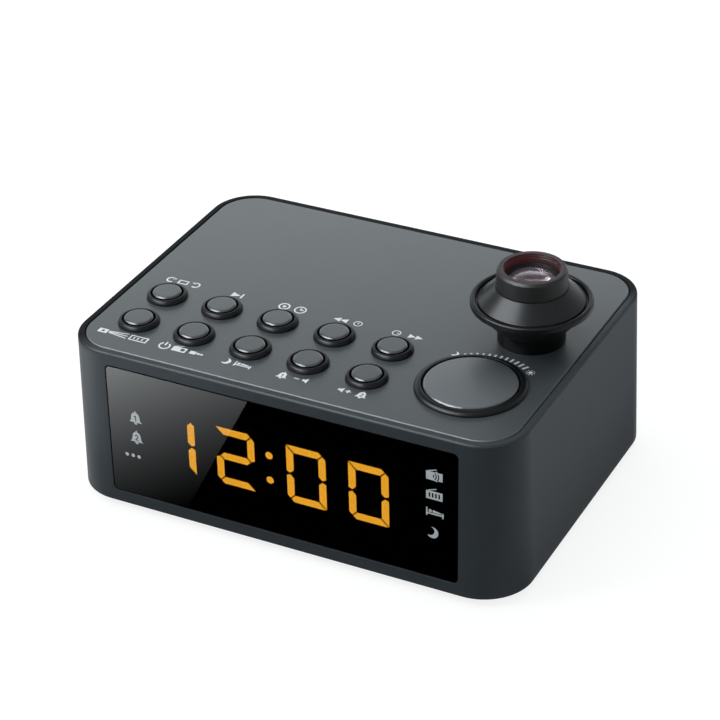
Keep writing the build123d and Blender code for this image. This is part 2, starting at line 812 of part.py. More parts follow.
def board_screws():
    """Screws of the key board, the display board, the main board and the speaker."""
    small = screw(screw_shank, screw_head, screw_length, screw_head_height)
    short = screw(screw_shank, screw_head, short_screw_length, screw_head_height)
    under = case_top + key_board_top - board_thickness
    screws = [Pos(x, y, under) * Rot(180, 0, 0) * small for x, y in key_posts()]
    screws += [Pos(x, board_front + board_thickness, z) * Rot(-90, 0, 0) * small for x, z in display_posts()]
    screws += [Pos(x, y, main_top) * small for x, y in main_post_places()]
    clamp = Pos(speaker_x, speaker_y, base_top + speaker_flange)
    screws += [clamp * Rot(0, 0, angle) * Pos(speaker_screw_radius) * short for angle in speaker_screw_angles]
    return group(screws)


# ---------------------------------------------------------------- projector
def on_ball(radius, elevation):
    """(radius, height) of a point on a sphere about the tilt pivot."""
    a = math.radians(elevation)
    return radius * math.cos(a), pivot_height + radius * math.sin(a)


def elevation_at(radius, x):
    return math.degrees(math.acos(x / radius))


def at_projector(shape):
    return Pos(projector_x, projector_y, case_top) * shape


def pivot_rod(radius, length):
    """Bar along the tilt axis, from the middle outwards."""
    return Pos(0, 0, pivot_height) * Rot(0, 90, 0) * Cylinder(radius, length, align=BOTTOM)


def swivel_base():
    """Neck ring that turns in the panel and holds the ball between two pins."""
    body = disc(neck_radius, 0, neck_height) + disc(hub_radius, sleeve_low, 0)
    body = chamfer(body.edges().group_by(Axis.Z)[-1], neck_edge)
    body -= Pos(0, 0, pivot_height) * Sphere(ball_radius + socket_gap)
    for turn in (0, 180):
        body -= Rot(0, 0, turn) * pivot_rod(pin_radius, neck_radius - pin_cover)
    return at_projector(body)


def swivel_clip():
    """Ring under the panel that keeps the neck down."""
    outer = hub_radius + clip_width
    ring = tube(outer, hub_radius - clip_grip, sleeve_low - clip_thickness, sleeve_low)
    ring += tube(outer, hub_radius + slide_fit, sleeve_low, -panel_thickness - seat_gap)
    return at_projector(ring - Pos(0, 0, pivot_height) * Sphere(ball_radius + socket_gap))


def tilt_pins():
    inner_end = ball_radius - ball_wall - pin_inset
    pin = Pos(inner_end) * pivot_rod(pin_radius, neck_radius - pin_cover - inner_end)
    return at_projector(group([pin, Rot(0, 0, 180) * pin]))


def pocket_radius():
    """Sphere that clears the neck ring's upper corner at every tilt."""
    return math.hypot(neck_radius, neck_height - pivot_height) + pocket_gap


def web_elevation():
    """Lowest angle at which the saucer can join the ball without meeting the tilted neck."""
    return tilt_limit + math.degrees(math.atan2(neck_height - pivot_height, ball_radius)) + tilt_spare


def head_floor():
    """Height of the flat floor inside the head."""
    return on_ball(pocket_radius() + ball_wall, web_elevation())[1] + floor_spare


def ball_neck_bore():
    """Radius of the opening between the hollow ball and the head."""
    return on_ball(ball_radius, web_elevation())[0] - ball_wall


def head_lower_shell():
    """Hollow ball, the pocket over the neck, and the saucer's underside, in one turned piece."""
    web, pocket = web_elevation(), pocket_radius()
    cover = pocket + ball_wall
    inner = ball_radius - ball_wall
    seat = rim_low + rim_seat
    bore, floor = ball_neck_bore(), head_floor()
    well = cone_foot - cone_wall - seat_gap
    foot = on_ball(pocket, pocket_skirt)
    inner_foot = on_ball(cover, 2 * pocket_skirt)
    hole = on_ball(ball_radius, -elevation_at(ball_radius, wire_hole))
    inner_hole = on_ball(inner, -elevation_at(inner, wire_hole))
    neck = on_ball(inner, elevation_at(inner, bore))
    saucer = [foot, (foot[0] + ball_wall, foot[1]), (saucer_radius, rim_low), (saucer_radius, seat),
              (saucer_radius - saucer_lip, seat), (well, seat), (well, seat - rim_seat),
              (inner_foot[0] + ball_wall, inner_foot[1]), inner_foot]
    shelf = [on_ball(cover, web), (on_ball(cover, web)[0] - floor_spare, floor), (bore, floor), neck]
    outline = [
        ThreePointArc(hole, on_ball(ball_radius, 0), on_ball(ball_radius, web)),
        Line(on_ball(ball_radius, web), on_ball(pocket, web)),
        ThreePointArc(on_ball(pocket, web), on_ball(pocket, (web + pocket_skirt) / 2), foot),
        *[Line(a, b) for a, b in zip(saucer, saucer[1:])],
        ThreePointArc(inner_foot, on_ball(cover, web / 2 + pocket_skirt), shelf[0]),
        *[Line(a, b) for a, b in zip(shelf, shelf[1:])],
        ThreePointArc(neck, on_ball(inner, 0), inner_hole),
        Line(inner_hole, hole),
    ]
    shell = revolve(make_face(Plane.XZ * Wire(outline)), Axis.Z)
    for turn in (0, 180):
        shell -= Rot(0, 0, turn) * pivot_rod(pin_radius + slide_fit, ball_radius + socket_gap)
    return at_projector(shell)


def rim_ring():
    """Rounded ring around the saucer's edge."""
    top = rim_low + rim_height
    seat = rim_low + rim_seat
    edge = saucer_radius + seat_gap
    ring = lathe((edge, rim_low), (rim_radius, rim_low), (rim_radius, top), (rim_inner, top), (rim_inner, seat),
                 (edge, seat))
    return at_projector(fillet(ring.edges().group_by(Axis.Z)[-1], rim_round))


def cone_top():
    return rim_low + rim_seat + cone_rise


def head_cone():
    """Conical cover from the rim up to the focus barrel, with the barrel's bearing inside."""
    low, top = rim_low + rim_seat, cone_top()
    shoulder = low + cone_edge
    neck = spigot_radius + slide_fit
    neck_low = top - cone_neck
    wall = cone_foot - cone_wall
    cone = lathe((cone_foot, low), (cone_foot, shoulder), (barrel_foot + barrel_ledge, top), (neck, top),
                 (neck, neck_low), (neck + cone_wall, neck_low), (wall, shoulder - cone_edge / 2), (wall, low))
    edge = [e for e in cone.edges() if abs(e.center(CenterOf.BOUNDING_BOX).Z - shoulder) < seat_gap / 2]
    return at_projector(fillet(edge, cone_round))


def focus_barrel():
    """Ring that is turned to focus; its mouth is stepped, and its spigot runs in the cone's bearing."""
    low = cone_top() + seat_gap
    top = low + barrel_height
    lip_top = cone_top() - cone_neck - seat_gap
    foot = lip_top - 2 * spigot_lip_height
    stairs = []
    for i in range(barrel_steps):
        radius = barrel_bore + (barrel_steps - i) * barrel_step_width
        stairs += [(radius, top - i * barrel_step_height), (radius, top - (i + 1) * barrel_step_height)]
    body = lathe(*stairs, (barrel_bore, top - barrel_steps * barrel_step_height), (barrel_bore, foot),
                 (spigot_radius, foot), (spigot_radius + spigot_lip, lip_top - spigot_lip_height),
                 (spigot_radius + spigot_lip, lip_top), (spigot_radius, lip_top), (spigot_radius, low),
                 (barrel_foot, low), (barrel_top, top - barrel_bevel_drop), (barrel_top - barrel_bevel, top))
    return at_projector(body)


def lens_high():
    return cone_top() + barrel_height - lens_depth


def lens_low():
    return lens_high() - lens_edge


def lens_cell():
    """Tube that carries the lens and moves up and down as the barrel is turned."""
    outer = barrel_bore - cell_gap
    bore = lens_radius + seat_gap
    low, top = lens_low() - cell_below, lens_high() + cell_above
    shelf_low = lens_low() - cell_above
    shelf_bore = lens_radius - cell_shelf
    body = lathe((bore, low), (outer, low), (outer, top), (bore, top), (bore, lens_low()),
                 (shelf_bore, lens_low()), (shelf_bore, shelf_low), (bore, shelf_low))
    return at_projector(body)


def projection_lens():
    """Biconvex lens; its lower rim is turned down to sit on the cell's shelf."""
    lens = disc(lens_radius, lens_low(), lens_high()) + dome(lens_radius, lens_high(), lens_bulge)
    return at_projector(lens + dome(lens_radius - lens_under, lens_low(), -lens_bulge))


def lens_retainer():
    """Ring that holds the lens down in its cell."""
    high = lens_high()
    ring = tube(lens_radius, lens_radius - retainer_width, high, high + retainer_height)
    return at_projector(ring - dome(lens_radius, high, lens_bulge))


def lcd_slide():
    """Glass slide with the clock figures, on the head's floor."""
    floor = head_floor()
    return at_projector(slab(-slide_width / 2, slide_width / 2, -slide_depth / 2, slide_depth / 2,
                             floor, floor + slide_thickness))


def condenser_lens():
    """Plano-convex lens in the neck, flush with the head's floor."""
    radius = ball_neck_bore() - slide_fit
    low = head_floor() - condenser_edge
    return at_projector(disc(radius, low, head_floor()) + dome(radius - condenser_step, low, -condenser_bulge))


def led_board_low():
    """The LED's board rests on the inside of the ball."""
    return pivot_height - math.sqrt((ball_radius - ball_wall) ** 2 - (led_radius + led_board_over) ** 2)


def projector_board():
    low = led_board_low()
    return at_projector(disc(led_radius + led_board_over, low, low + led_board_thickness))


def projector_led():
    low = led_board_low() + led_board_thickness
    body = disc(led_radius, low, low + led_height) + disc(led_radius + led_flange, low, low + led_flange)
    return at_projector(body + dome(led_radius, low + led_height, led_radius))


# ---------------------------------------------------------------- speaker
def at_speaker(shape):
    return Pos(speaker_x, speaker_y, base_top) * shape


def speaker_frame():
    """Flanged basket with four windows."""
    top = speaker_height - magnet_height
    flange = speaker_flange
    wall = basket_wall
    mouth = speaker_radius - speaker_flange_width - wall
    hole = magnet_radius - basket_hole
    body = lathe((speaker_radius, 0), (speaker_radius, flange), (speaker_radius - speaker_flange_width, flange),
                 (magnet_radius, top - 2 * wall), (magnet_radius, top), (hole, top), (hole, top - wall),
                 (magnet_radius - wall, top - wall), (magnet_radius - wall, top - 2 * wall), (mouth, flange),
                 (mouth, 0))
    half = basket_slot_width / 2
    for i in range(basket_slots):
        window = slab(magnet_radius + wall, mouth, -half, half, flange + wall, top - 2 * wall)
        body -= Rot(0, 0, (i + 0.5) * 360 / basket_slots) * window
    return at_speaker(body)


def speaker_magnet():
    low = speaker_height - magnet_height
    return at_speaker(chamfer(disc(magnet_radius, low, speaker_height).edges(), magnet_edge))


def speaker_cone():
    """Paper cone, roll surround and dust cap."""
    rim = speaker_radius - speaker_flange_width - basket_wall - seat_gap
    roll = rim - surround_width
    low, high = paper, speaker_height - magnet_height - 3 * basket_wall
    cone = lathe((rim, low), (rim, low + paper), (roll, low + paper), (dust_cap_radius, high), (0, high),
                 (0, high - paper), (dust_cap_radius - paper, high - paper), (roll - paper, low))
    return at_speaker(cone)


# ---------------------------------------------------------------- main board and sockets
def main_board():
    board = slab(main_left, main_right, main_front, main_rear, main_low, main_top)
    for x, y in main_post_places():
        board -= Pos(x, y) * disc(pilot_radius + seat_gap, main_low, main_top)
    return board


def board_components():
    """Controller, amplifier, sockets, capacitors and resistors on the main board."""
    place = Pos(main_middle_x, main_middle_y, main_top)
    parts = []
    for x, y, width, depth, height in (controller, amplifier, cable_socket, speaker_socket):
        parts.append(slab(x - width / 2, x + width / 2, y - depth / 2, y + depth / 2, 0, height))
    for i, (radius, height) in enumerate(zip(capacitor_radii, capacitor_heights)):
        can = fillet(disc(radius, 0, height).edges().group_by(Axis.Z)[-1], capacitor_round)
        parts.append(Pos(capacitor_pitch * (i - 1), capacitor_back) * can)
    width, depth, height = resistor_size
    for i in range(resistor_count):
        x = cable_socket[0] + resistor_pitch * (i - 1)
        parts.append(slab(x - width / 2, x + width / 2, resistor_front - depth / 2, resistor_front + depth / 2,
                          0, height))
    return place * group(parts)


def tuner_can():
    """Tin screening can over the radio tuner."""
    half_x, half_y = tuner_width / 2, tuner_depth / 2
    wall = tuner_wall
    can = slab(-half_x, half_x, -half_y, half_y, 0, tuner_height)
    can -= slab(-half_x + wall, half_x - wall, -half_y + wall, half_y - wall, 0, tuner_height - wall)
    return Pos(main_middle_x + tuner_x, main_middle_y + tuner_y, main_top) * can


def audio_jack():
    """3.5 mm socket on the main board, its nose in the rear wall."""
    inside, face = rear_inside - socket_setback, rear_inside + case_wall - socket_setback
    half = jack_body / 2
    body = slab(jack_x - half, jack_x + half, inside - jack_depth, inside, main_top, jack_z + jack_nose)
    body += rod_y(jack_nose, jack_x, jack_z, inside - socket_root, face)
    return body - rod_y(jack_bore, jack_x, jack_z, face - jack_depth, face)


def power_inlet():
    """Round low-voltage socket with a centre pin."""
    inside, face = rear_inside - socket_setback, rear_inside + case_wall - socket_setback
    back = face - inlet_depth - inlet_back
    half = inlet_body / 2
    nose = inlet_bore + inlet_wall
    body = slab(inlet_x - half, inlet_x + half, back, inside, main_top, jack_z + nose)
    body += rod_y(nose, inlet_x, jack_z, inside - socket_root, face)
    body -= rod_y(inlet_bore, inlet_x, jack_z, face - inlet_depth, face)
    return body + rod_y(inlet_pin, inlet_x, jack_z, back + inlet_back / 2, face - socket_root)


def aerial_bushing():
    """Flanged bushing for the wire aerial."""
    inside, face = rear_inside - socket_setback, rear_inside + case_wall
    back = inside - bushing_flange_thickness
    body = rod_y(bushing_neck, aerial_x, jack_z, inside, face)
    body += rod_y(bushing_flange, aerial_x, jack_z, back, inside)
    return body - rod_y(aerial_hole, aerial_x, jack_z, back, face)


def display_cable():
    """Flat cable from the display board, over the front edge of the main board, down to its face."""
    start = board_front + board_thickness
    turn = start + cable_bow
    end = main_front + cable_end
    high = window_middle - window_height / 2 + cable_rise
    low = well_top + cable_over
    left = main_left + cable_left
    right, thick = left + cable_width, cable_thickness
    return (slab(left, right, start, turn + thick, high, high + thick)
            + slab(left, right, turn, turn + thick, low, high)
            + slab(left, right, turn, end + thick, low, low + thick)
            + slab(left, right, end, end + thick, main_top, low))


def node_shapes():
    """Every node of the clock by name."""
    names = ("projector", "source", "sleep", "alarm_one", "alarm_two",
             "rotate", "preset", "clock_set", "hour", "minute")
    nodes = {f"{name}_key": key(x, y) for name, (x, y) in zip(names, key_places())}
    makers = (main_housing, top_panel, display_window, base_cover, battery_door, backup_cell, battery_contacts,
              rubber_feet, case_screws, display_reflector, segments_lit, segments_dark, display_board, snooze_key,
              key_collars, snooze_collar, key_board, key_mat, board_screws, swivel_base, swivel_clip, tilt_pins,
              head_lower_shell, rim_ring, head_cone, focus_barrel, lens_cell, projection_lens, lens_retainer,
              lcd_slide, condenser_lens, projector_board, projector_led, speaker_frame, speaker_magnet,
              speaker_cone, main_board, board_components, tuner_can, audio_jack, power_inlet, aerial_bushing,
              display_cable)
    for maker in makers:
        nodes[maker.__name__] = maker()
    return nodes


os.makedirs("parts", exist_ok=True)
for node, shape in node_shapes().items():
    export_step(shape, f"parts/{node}.step")
    print(node, round(shape.volume, 1))
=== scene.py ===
# %% [markdown]
# # Dressing a projection alarm clock
# This clock is a grey box of moulded plastic with a smoked display window, eleven press keys and a small
# projector that throws the time onto the ceiling. The solid model already holds every piece at its real
# size and in its real place. So this lesson leaves the shapes alone and works on what the eye meets: the
# finish of each plastic, the white printing, the lit bars, and a small studio around it all.

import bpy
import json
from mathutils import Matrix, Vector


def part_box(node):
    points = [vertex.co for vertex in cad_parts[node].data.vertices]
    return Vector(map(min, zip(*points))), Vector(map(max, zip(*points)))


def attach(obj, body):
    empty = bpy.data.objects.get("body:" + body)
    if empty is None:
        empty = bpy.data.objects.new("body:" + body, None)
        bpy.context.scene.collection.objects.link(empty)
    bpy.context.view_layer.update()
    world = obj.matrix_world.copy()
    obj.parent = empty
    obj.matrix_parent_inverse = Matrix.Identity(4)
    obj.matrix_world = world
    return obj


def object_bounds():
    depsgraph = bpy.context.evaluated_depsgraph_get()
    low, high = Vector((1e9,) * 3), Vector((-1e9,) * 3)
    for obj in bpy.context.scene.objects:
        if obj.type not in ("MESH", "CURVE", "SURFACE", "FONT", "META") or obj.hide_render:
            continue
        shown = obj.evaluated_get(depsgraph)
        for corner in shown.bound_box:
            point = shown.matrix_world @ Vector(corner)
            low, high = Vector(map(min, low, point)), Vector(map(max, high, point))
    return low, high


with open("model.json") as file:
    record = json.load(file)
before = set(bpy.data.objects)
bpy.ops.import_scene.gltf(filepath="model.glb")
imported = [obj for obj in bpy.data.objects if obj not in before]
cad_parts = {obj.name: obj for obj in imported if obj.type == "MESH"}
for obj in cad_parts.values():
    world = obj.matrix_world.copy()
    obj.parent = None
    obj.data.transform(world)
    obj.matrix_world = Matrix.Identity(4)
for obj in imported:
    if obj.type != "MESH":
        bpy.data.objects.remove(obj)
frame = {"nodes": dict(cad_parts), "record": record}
nodes = frame["nodes"]
model_low, model_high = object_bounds()
print("pieces in the solid model:", len(nodes))
print("model size in mm:", [round(1000 * side, 1) for side in model_high - model_low])

# %% [markdown]
# Blender counts in metres, and a maker of small plastic things thinks in millimetres. One named factor
# turns the one into the other, and a short function makes a point from three millimetre values.

# %% Millimetres
import json
import math

import bmesh
import bpy
from mathutils import Matrix, Vector
from mathutils.geometry import tessellate_polygon

MM = 0.001


def mm(x, y, z):
    """A point given in millimetres, as Blender wants it."""
    return Vector((x, y, z)) * MM


# %% [markdown]
# The camera looks down on the clock from its front right, as someone standing at the bedside would. A long
# lens from almost a metre away keeps the box nearly square, with only a little perspective. The camera is
# placed by an aim point, two angles, a slight roll and a distance, because those are easy to picture and to
# change.

# %% The camera
VIEW_AIM = mm(0.10, -1.22, 43.19)
VIEW_DISTANCE = 872.6 * MM
VIEW_AZIMUTH = math.radians(27.849)
VIEW_ELEVATION = math.radians(31.756)
VIEW_ROLL = math.radians(-1.839)
LENS_MM = 122.55
SENSOR_MM = 36.0

ahead = Vector((
    -math.sin(VIEW_AZIMUTH) * math.cos(VIEW_ELEVATION),
    math.cos(VIEW_AZIMUTH) * math.cos(VIEW_ELEVATION),
    -math.sin(VIEW_ELEVATION),
))
level_right = Vector((math.cos(VIEW_AZIMUTH), math.sin(VIEW_AZIMUTH), 0))
level_up = level_right.cross(ahead)
right = math.cos(VIEW_ROLL) * level_right + math.sin(VIEW_ROLL) * level_up
up = right.cross(ahead)

camera = bpy.data.objects.new("camera", bpy.data.cameras.new("camera"))
camera.data.lens = LENS_MM
camera.data.sensor_width = SENSOR_MM
camera.data.clip_start = 0.01
turn = Matrix((right, up, -ahead)).transposed().to_4x4()
camera.matrix_world = Matrix.Translation(VIEW_AIM - VIEW_DISTANCE * ahead) @ turn
bpy.context.scene.collection.objects.link(camera)
bpy.context.scene.camera = camera
bpy.context.scene.view_settings.view_transform = "Standard"
print("camera stands at", [round(1000 * value) for value in camera.matrix_world.translation], "mm")

# %% [markdown]
# Every finish in this lesson is a small graph of nodes. Writing each node in four lines of code would hide
# the idea behind the typing, so one helper adds a node, sets its options and either fills or links its
# inputs. The other helpers are short names for the nodes that come up again and again.

# %% Helpers for node graphs
def add(tree, kind, inputs=None, **options):
    """Adds a node. An input is either given a plain value or linked to another node's output."""
    made = tree.nodes.new(kind)
    for name, value in options.items():
        setattr(made, name, value)
    for name, value in (inputs or {}).items():
        if isinstance(value, bpy.types.NodeSocket):
            tree.links.new(value, made.inputs[name])
        else:
            made.inputs[name].default_value = value
    return made


MIX_FIRST, MIX_SECOND, MIX_RESULT = 6, 7, 2


def mix_colours(tree, share, first, second):
    """The output of a node that goes from the first colour to the second as share goes from 0 to 1."""
    colours = {"Factor": share, MIX_FIRST: first, MIX_SECOND: second}
    return add(tree, "ShaderNodeMix", colours, data_type="RGBA").outputs[MIX_RESULT]


def math_node(tree, operation, first, second=0.0, clamp=False):
    """The output of one sum on two numbers."""
    return add(tree, "ShaderNodeMath", {0: first, 1: second}, operation=operation, use_clamp=clamp).outputs[0]


def vector_node(tree, operation, *points):
    """The output of one sum on points: a number for a length or a dot product, and else a point."""
    made = add(tree, "ShaderNodeVectorMath", dict(enumerate(points)), operation=operation)
    return made.outputs["Value" if operation in ("LENGTH", "DOT_PRODUCT") else "Vector"]


def place_on(tree):
    """The place on the piece that a ray has met, in the piece's own coordinates."""
    return add(tree, "ShaderNodeTexCoord").outputs["Object"]


def coordinate(tree, point, letter):
    """One coordinate of a point."""
    return add(tree, "ShaderNodeSeparateXYZ", {"Vector": point}).outputs[letter]


NOISE_LOW, NOISE_HIGH = 0.3, 0.7


def spread(tree, value, low, high, from_low=NOISE_LOW, from_high=NOISE_HIGH):
    """Stretches a value to the range that a socket needs. With no range given, it expects a noise."""
    limits = {"Value": value, "From Min": from_low, "From Max": from_high, "To Min": low, "To Max": high}
    return add(tree, "ShaderNodeMapRange", limits).outputs[0]


# %% [markdown]
# The clock stands on a plain white table in a white room. A white room would wash the dark plastic out, so
# the world is white only for the camera and for mirror-like rays, and dimmer for the soft light that it
# sheds on the clock. The Light Path node tells these rays apart.

# %% The white room
ROOM_WHITE = 1.0
ROOM_FILL = 0.42
FILL_COLOUR = (0.92, 0.98, 1, 1)


def seen_directly(tree):
    """1 for a ray from the camera, off a glossy surface or through clear plastic, and 0 for soft light."""
    path = add(tree, "ShaderNodeLightPath").outputs
    seen = math_node(tree, "ADD", path["Is Camera Ray"], path["Is Glossy Ray"])
    return math_node(tree, "ADD", seen, path["Is Transmission Ray"], clamp=True)


room = bpy.data.worlds.new("white_room")
room.use_nodes = True
tree = room.node_tree
tree.nodes.clear()
white = add(tree, "ShaderNodeBackground", {"Color": (1, 1, 1, 1), "Strength": ROOM_WHITE})
fill = add(tree, "ShaderNodeBackground", {"Color": FILL_COLOUR, "Strength": ROOM_FILL})
both = add(tree, "ShaderNodeMixShader", {0: seen_directly(tree), 1: fill.outputs[0], 2: white.outputs[0]})
add(tree, "ShaderNodeOutputWorld", {"Surface": both.outputs[0]})
bpy.context.scene.world = room
print("room: white", ROOM_WHITE, "to the eye, fill light", ROOM_FILL)

# %% [markdown]
# The table top is one large flat sheet. It has to look white and still catch the clock's shadow. So part of
# its white is a steady glow that only the camera and mirror-like rays see, and the rest is plain diffuse
# white that the shadow can darken. Seen from below, the sheet is clear, so the underside can be looked at.

# %% The table
TABLE_HALF = 4.0
TABLE_GLOW = 0.82
SHADOW_SHARE = (0.33, 0.33, 0.33, 1)
TABLE_WHITE = (0.62, 0.62, 0.62, 1)


def square(half):
    """The corners of a square round (0, 0)."""
    return [(-half, -half), (half, -half), (half, half), (-half, half)]


def flat_sheet(name, corners):
    """A one-sided flat mesh through the given corners."""
    mesh = bpy.data.meshes.new(name)
    mesh.from_pydata(corners, [], [tuple(range(len(corners)))])
    sheet = bpy.data.objects.new(name, mesh)
    bpy.context.scene.collection.objects.link(sheet)
    return sheet


def empty_material(name):
    """A material with nothing in it, and its graph."""
    material = bpy.data.materials.new(name)
    material.use_nodes = True
    material.node_tree.nodes.clear()
    return material, material.node_tree


table_material, tree = empty_material("table_white")
seen = seen_directly(tree)
matt = add(tree, "ShaderNodeBsdfDiffuse", {"Color": mix_colours(tree, seen, TABLE_WHITE, SHADOW_SHARE)})
steady = math_node(tree, "MULTIPLY", seen, TABLE_GLOW)
glow = add(tree, "ShaderNodeEmission", {"Color": (1, 1, 1, 1), "Strength": steady})
added = add(tree, "ShaderNodeAddShader", {0: matt.outputs[0], 1: glow.outputs[0]})
below = add(tree, "ShaderNodeNewGeometry").outputs["Backfacing"]
clear = add(tree, "ShaderNodeBsdfTransparent")
one_sided = add(tree, "ShaderNodeMixShader", {0: below, 1: added.outputs[0], 2: clear.outputs[0]})
add(tree, "ShaderNodeOutputMaterial", {"Surface": one_sided.outputs[0]})

table = flat_sheet("table", [(x, y, model_low.z) for x, y in square(TABLE_HALF)])
table.data.materials.append(table_material)
print("table at height", round(model_low.z, 4), "m")

# %% [markdown]
# Five softboxes light the clock, as in a small product studio. Soft light and gloss are easier to judge one
# at a time, so two of them only shed soft light, one from overhead and one from the front left. The other
# three are only seen in the gloss. Two at the front left and the front draw the thin bright line along every
# rounded edge, which makes a key look pressed out of one piece. The small one overhead gives the lens its
# bright crescent. Each is set by the brightness of its face, since that is what a gloss shows.

# %% The softboxes
COOL = (0.93, 0.98, 1.0)


def softbox(name, azimuth, elevation, distance, size, brightness, soft=True):
    """A square light that faces the clock. Azimuth is measured from the front, towards the right."""
    a, e = math.radians(azimuth), math.radians(elevation)
    towards = Vector((math.sin(a) * math.cos(e), -math.cos(a) * math.cos(e), math.sin(e)))
    lamp = bpy.data.lights.new(name, "AREA")
    lamp.shape = "SQUARE"
    lamp.size = size
    lamp.energy = brightness * math.pi * size ** 2
    lamp.color = COOL
    box = bpy.data.objects.new(name, lamp)
    box.location = VIEW_AIM + towards * distance
    box.rotation_euler = towards.to_track_quat("Z", "Y").to_euler()
    box.visible_camera = False
    box.visible_diffuse = soft
    box.visible_glossy = not soft
    bpy.context.scene.collection.objects.link(box)
    share = brightness * size ** 2 / (math.pi * distance ** 2)
    use = "lights a white card facing it to" if soft else "seen in gloss only, would light it to"
    print(f"{name}: {use} {share:.2f}")


softbox("overhead_softbox", azimuth=-150, elevation=66, distance=1.3, size=1.1, brightness=1.5)
softbox("front_left_softbox", azimuth=-52, elevation=44, distance=1.1, size=0.34, brightness=8.5)
softbox("edge_softbox", azimuth=-51, elevation=45, distance=1.1, size=0.85, brightness=17.0, soft=False)
softbox("front_edge_softbox", azimuth=-14, elevation=36, distance=1.1, size=0.6, brightness=17.0, soft=False)
softbox("lens_softbox", azimuth=-150, elevation=66, distance=1.3, size=0.22, brightness=7.0, soft=False)

# %% [markdown]
# The display window is as shiny as a mirror, and it leans the viewer's eye down onto the table just in
# front of the clock. Two cards lie there: a black one keeps the window deep black behind the digits, and a
# graded one gives the left end its soft grey sheen. The graded one grows brighter to the left and to the
# front, slowly at first. Both are seen by mirror-like rays only, so they throw no shadow and don't show on
# the table.

# %% Cards for the window to mirror
CARD_HEIGHT = 0.4 * MM
EDGE_NEAR = (-41.5, -66.0)
EDGE_FAR = (-62.6, -155.0)
BLACK_REACH = (420.0, -700.0)
SHEEN_REACH = (-420.0, -330.0)
slope = (EDGE_FAR[0] - EDGE_NEAR[0]) / (EDGE_FAR[1] - EDGE_NEAR[1])


def on_table(x, y):
    """A point a hair above the table, from millimetres."""
    return mm(x, y, 0) + Vector((0, 0, model_low.z + CARD_HEIGHT))


def card_edge(y):
    """How far right the boundary between the two cards lies at a given y."""
    return EDGE_NEAR[0] + slope * (y - EDGE_NEAR[1])


def slanting_card(name, reach):
    """A card between the shared slanting edge and its own far corner."""
    far_x, far_y = reach
    near_y = EDGE_NEAR[1]
    corners = [(card_edge(near_y), near_y), (far_x, near_y), (far_x, far_y), (card_edge(far_y), far_y)]
    return flat_sheet(name, [on_table(x, y) for x, y in corners])


def finish_card(sheet, material, tree, strength, colour=(*COOL, 1)):
    """Lets a card glow, and hides it from all but mirror-like rays, off a surface or inside clear plastic."""
    shine = add(tree, "ShaderNodeEmission", {"Color": colour, "Strength": strength})
    add(tree, "ShaderNodeOutputMaterial", {"Surface": shine.outputs[0]})
    sheet.data.materials.append(material)
    sheet.visible_camera = False
    sheet.visible_diffuse = False
    sheet.visible_shadow = False


BLACK = (0.01, 0.01, 0.01, 1)
BLACK_STRENGTH = 0.3
black_card = slanting_card("black_card", BLACK_REACH)
finish_card(black_card, *empty_material("card_black"), BLACK_STRENGTH, BLACK)

SHEEN_START = -1.16
SHEEN_PER_METRE = (-14.8, -8.9, 0)
SHEEN_LIMIT = 2.1
sheen_card = slanting_card("sheen_card", SHEEN_REACH)
material, tree = empty_material("card_sheen")
rise = math_node(tree, "ADD", vector_node(tree, "DOT_PRODUCT", place_on(tree), SHEEN_PER_METRE), SHEEN_START)
rise = math_node(tree, "MINIMUM", math_node(tree, "MAXIMUM", rise, 0.0), SHEEN_LIMIT)
finish_card(sheen_card, material, tree, math_node(tree, "POWER", rise, 2.0))
print("the two cards meet at x", EDGE_NEAR[0], "mm, in front of the clock")

# %% [markdown]
# The right end of the clock mirrors the white table as well, dully. A grey card on the table beside it keeps
# that end dark. It is darkest next to the clock, so the end darkens towards its foot.

# %% The grey card beside the clock
SIDE_NEAR_X, SIDE_FAR_X = 88.0, 330.0
SIDE_FRONT_Y, SIDE_REAR_Y = -80.0, 420.0
SIDE_START = 0.3
SIDE_PER_METRE = 18.0

side_corners = [(SIDE_NEAR_X, SIDE_FRONT_Y), (SIDE_FAR_X, SIDE_FRONT_Y), (SIDE_FAR_X, SIDE_REAR_Y),
                (SIDE_NEAR_X, SIDE_REAR_Y)]
side_card = flat_sheet("side_card", [on_table(x, y) for x, y in side_corners])
material, tree = empty_material("card_side")
outward = math_node(tree, "SUBTRACT", coordinate(tree, place_on(tree), "X"), SIDE_NEAR_X * MM)
level = math_node(tree, "ADD", math_node(tree, "MULTIPLY", outward, SIDE_PER_METRE), SIDE_START, clamp=True)
finish_card(side_card, material, tree, level)
print("side card starts at x", SIDE_NEAR_X, "mm")

# %% [markdown]
# The flat top is a dull mirror too: it shows the viewer what stands low behind the clock. A graded card there
# makes the top lighter towards the rear and darker towards the front, and that slow change tells the eye
# that the surface is flat. The card faces the clock squarely. It is brightest in its lower part, and fades
# upwards until it is nearly dark a little above its middle. Its foot is nearly black, for the rounded rear
# edge of the case to mirror. Further down, shade painted into the case's own finish takes that edge the
# rest of the way to a dark line.

# %% The graded card behind
REAR_AIM_HEIGHT = 63.5
REAR_DISTANCE = 350.0
REAR_HALF = 300.0
REAR_LEVEL = 1.5
REAR_PER_METRE = 24.0
REAR_LEAST, REAR_LIMIT = 0.1, 2.7
FOOT_START, FOOT_END = -0.16, -0.11
FOOT_SHARE = 0.02

mirrored = Vector((ahead.x, ahead.y, -ahead.z))
rear_card = flat_sheet("rear_card", [(x, y, 0) for x, y in square(REAR_HALF * MM)])
rear_card.location = Vector((0, 0, model_low.z + REAR_AIM_HEIGHT * MM)) + mirrored * REAR_DISTANCE * MM
rear_card.rotation_euler = mirrored.to_track_quat("Z", "Y").to_euler()

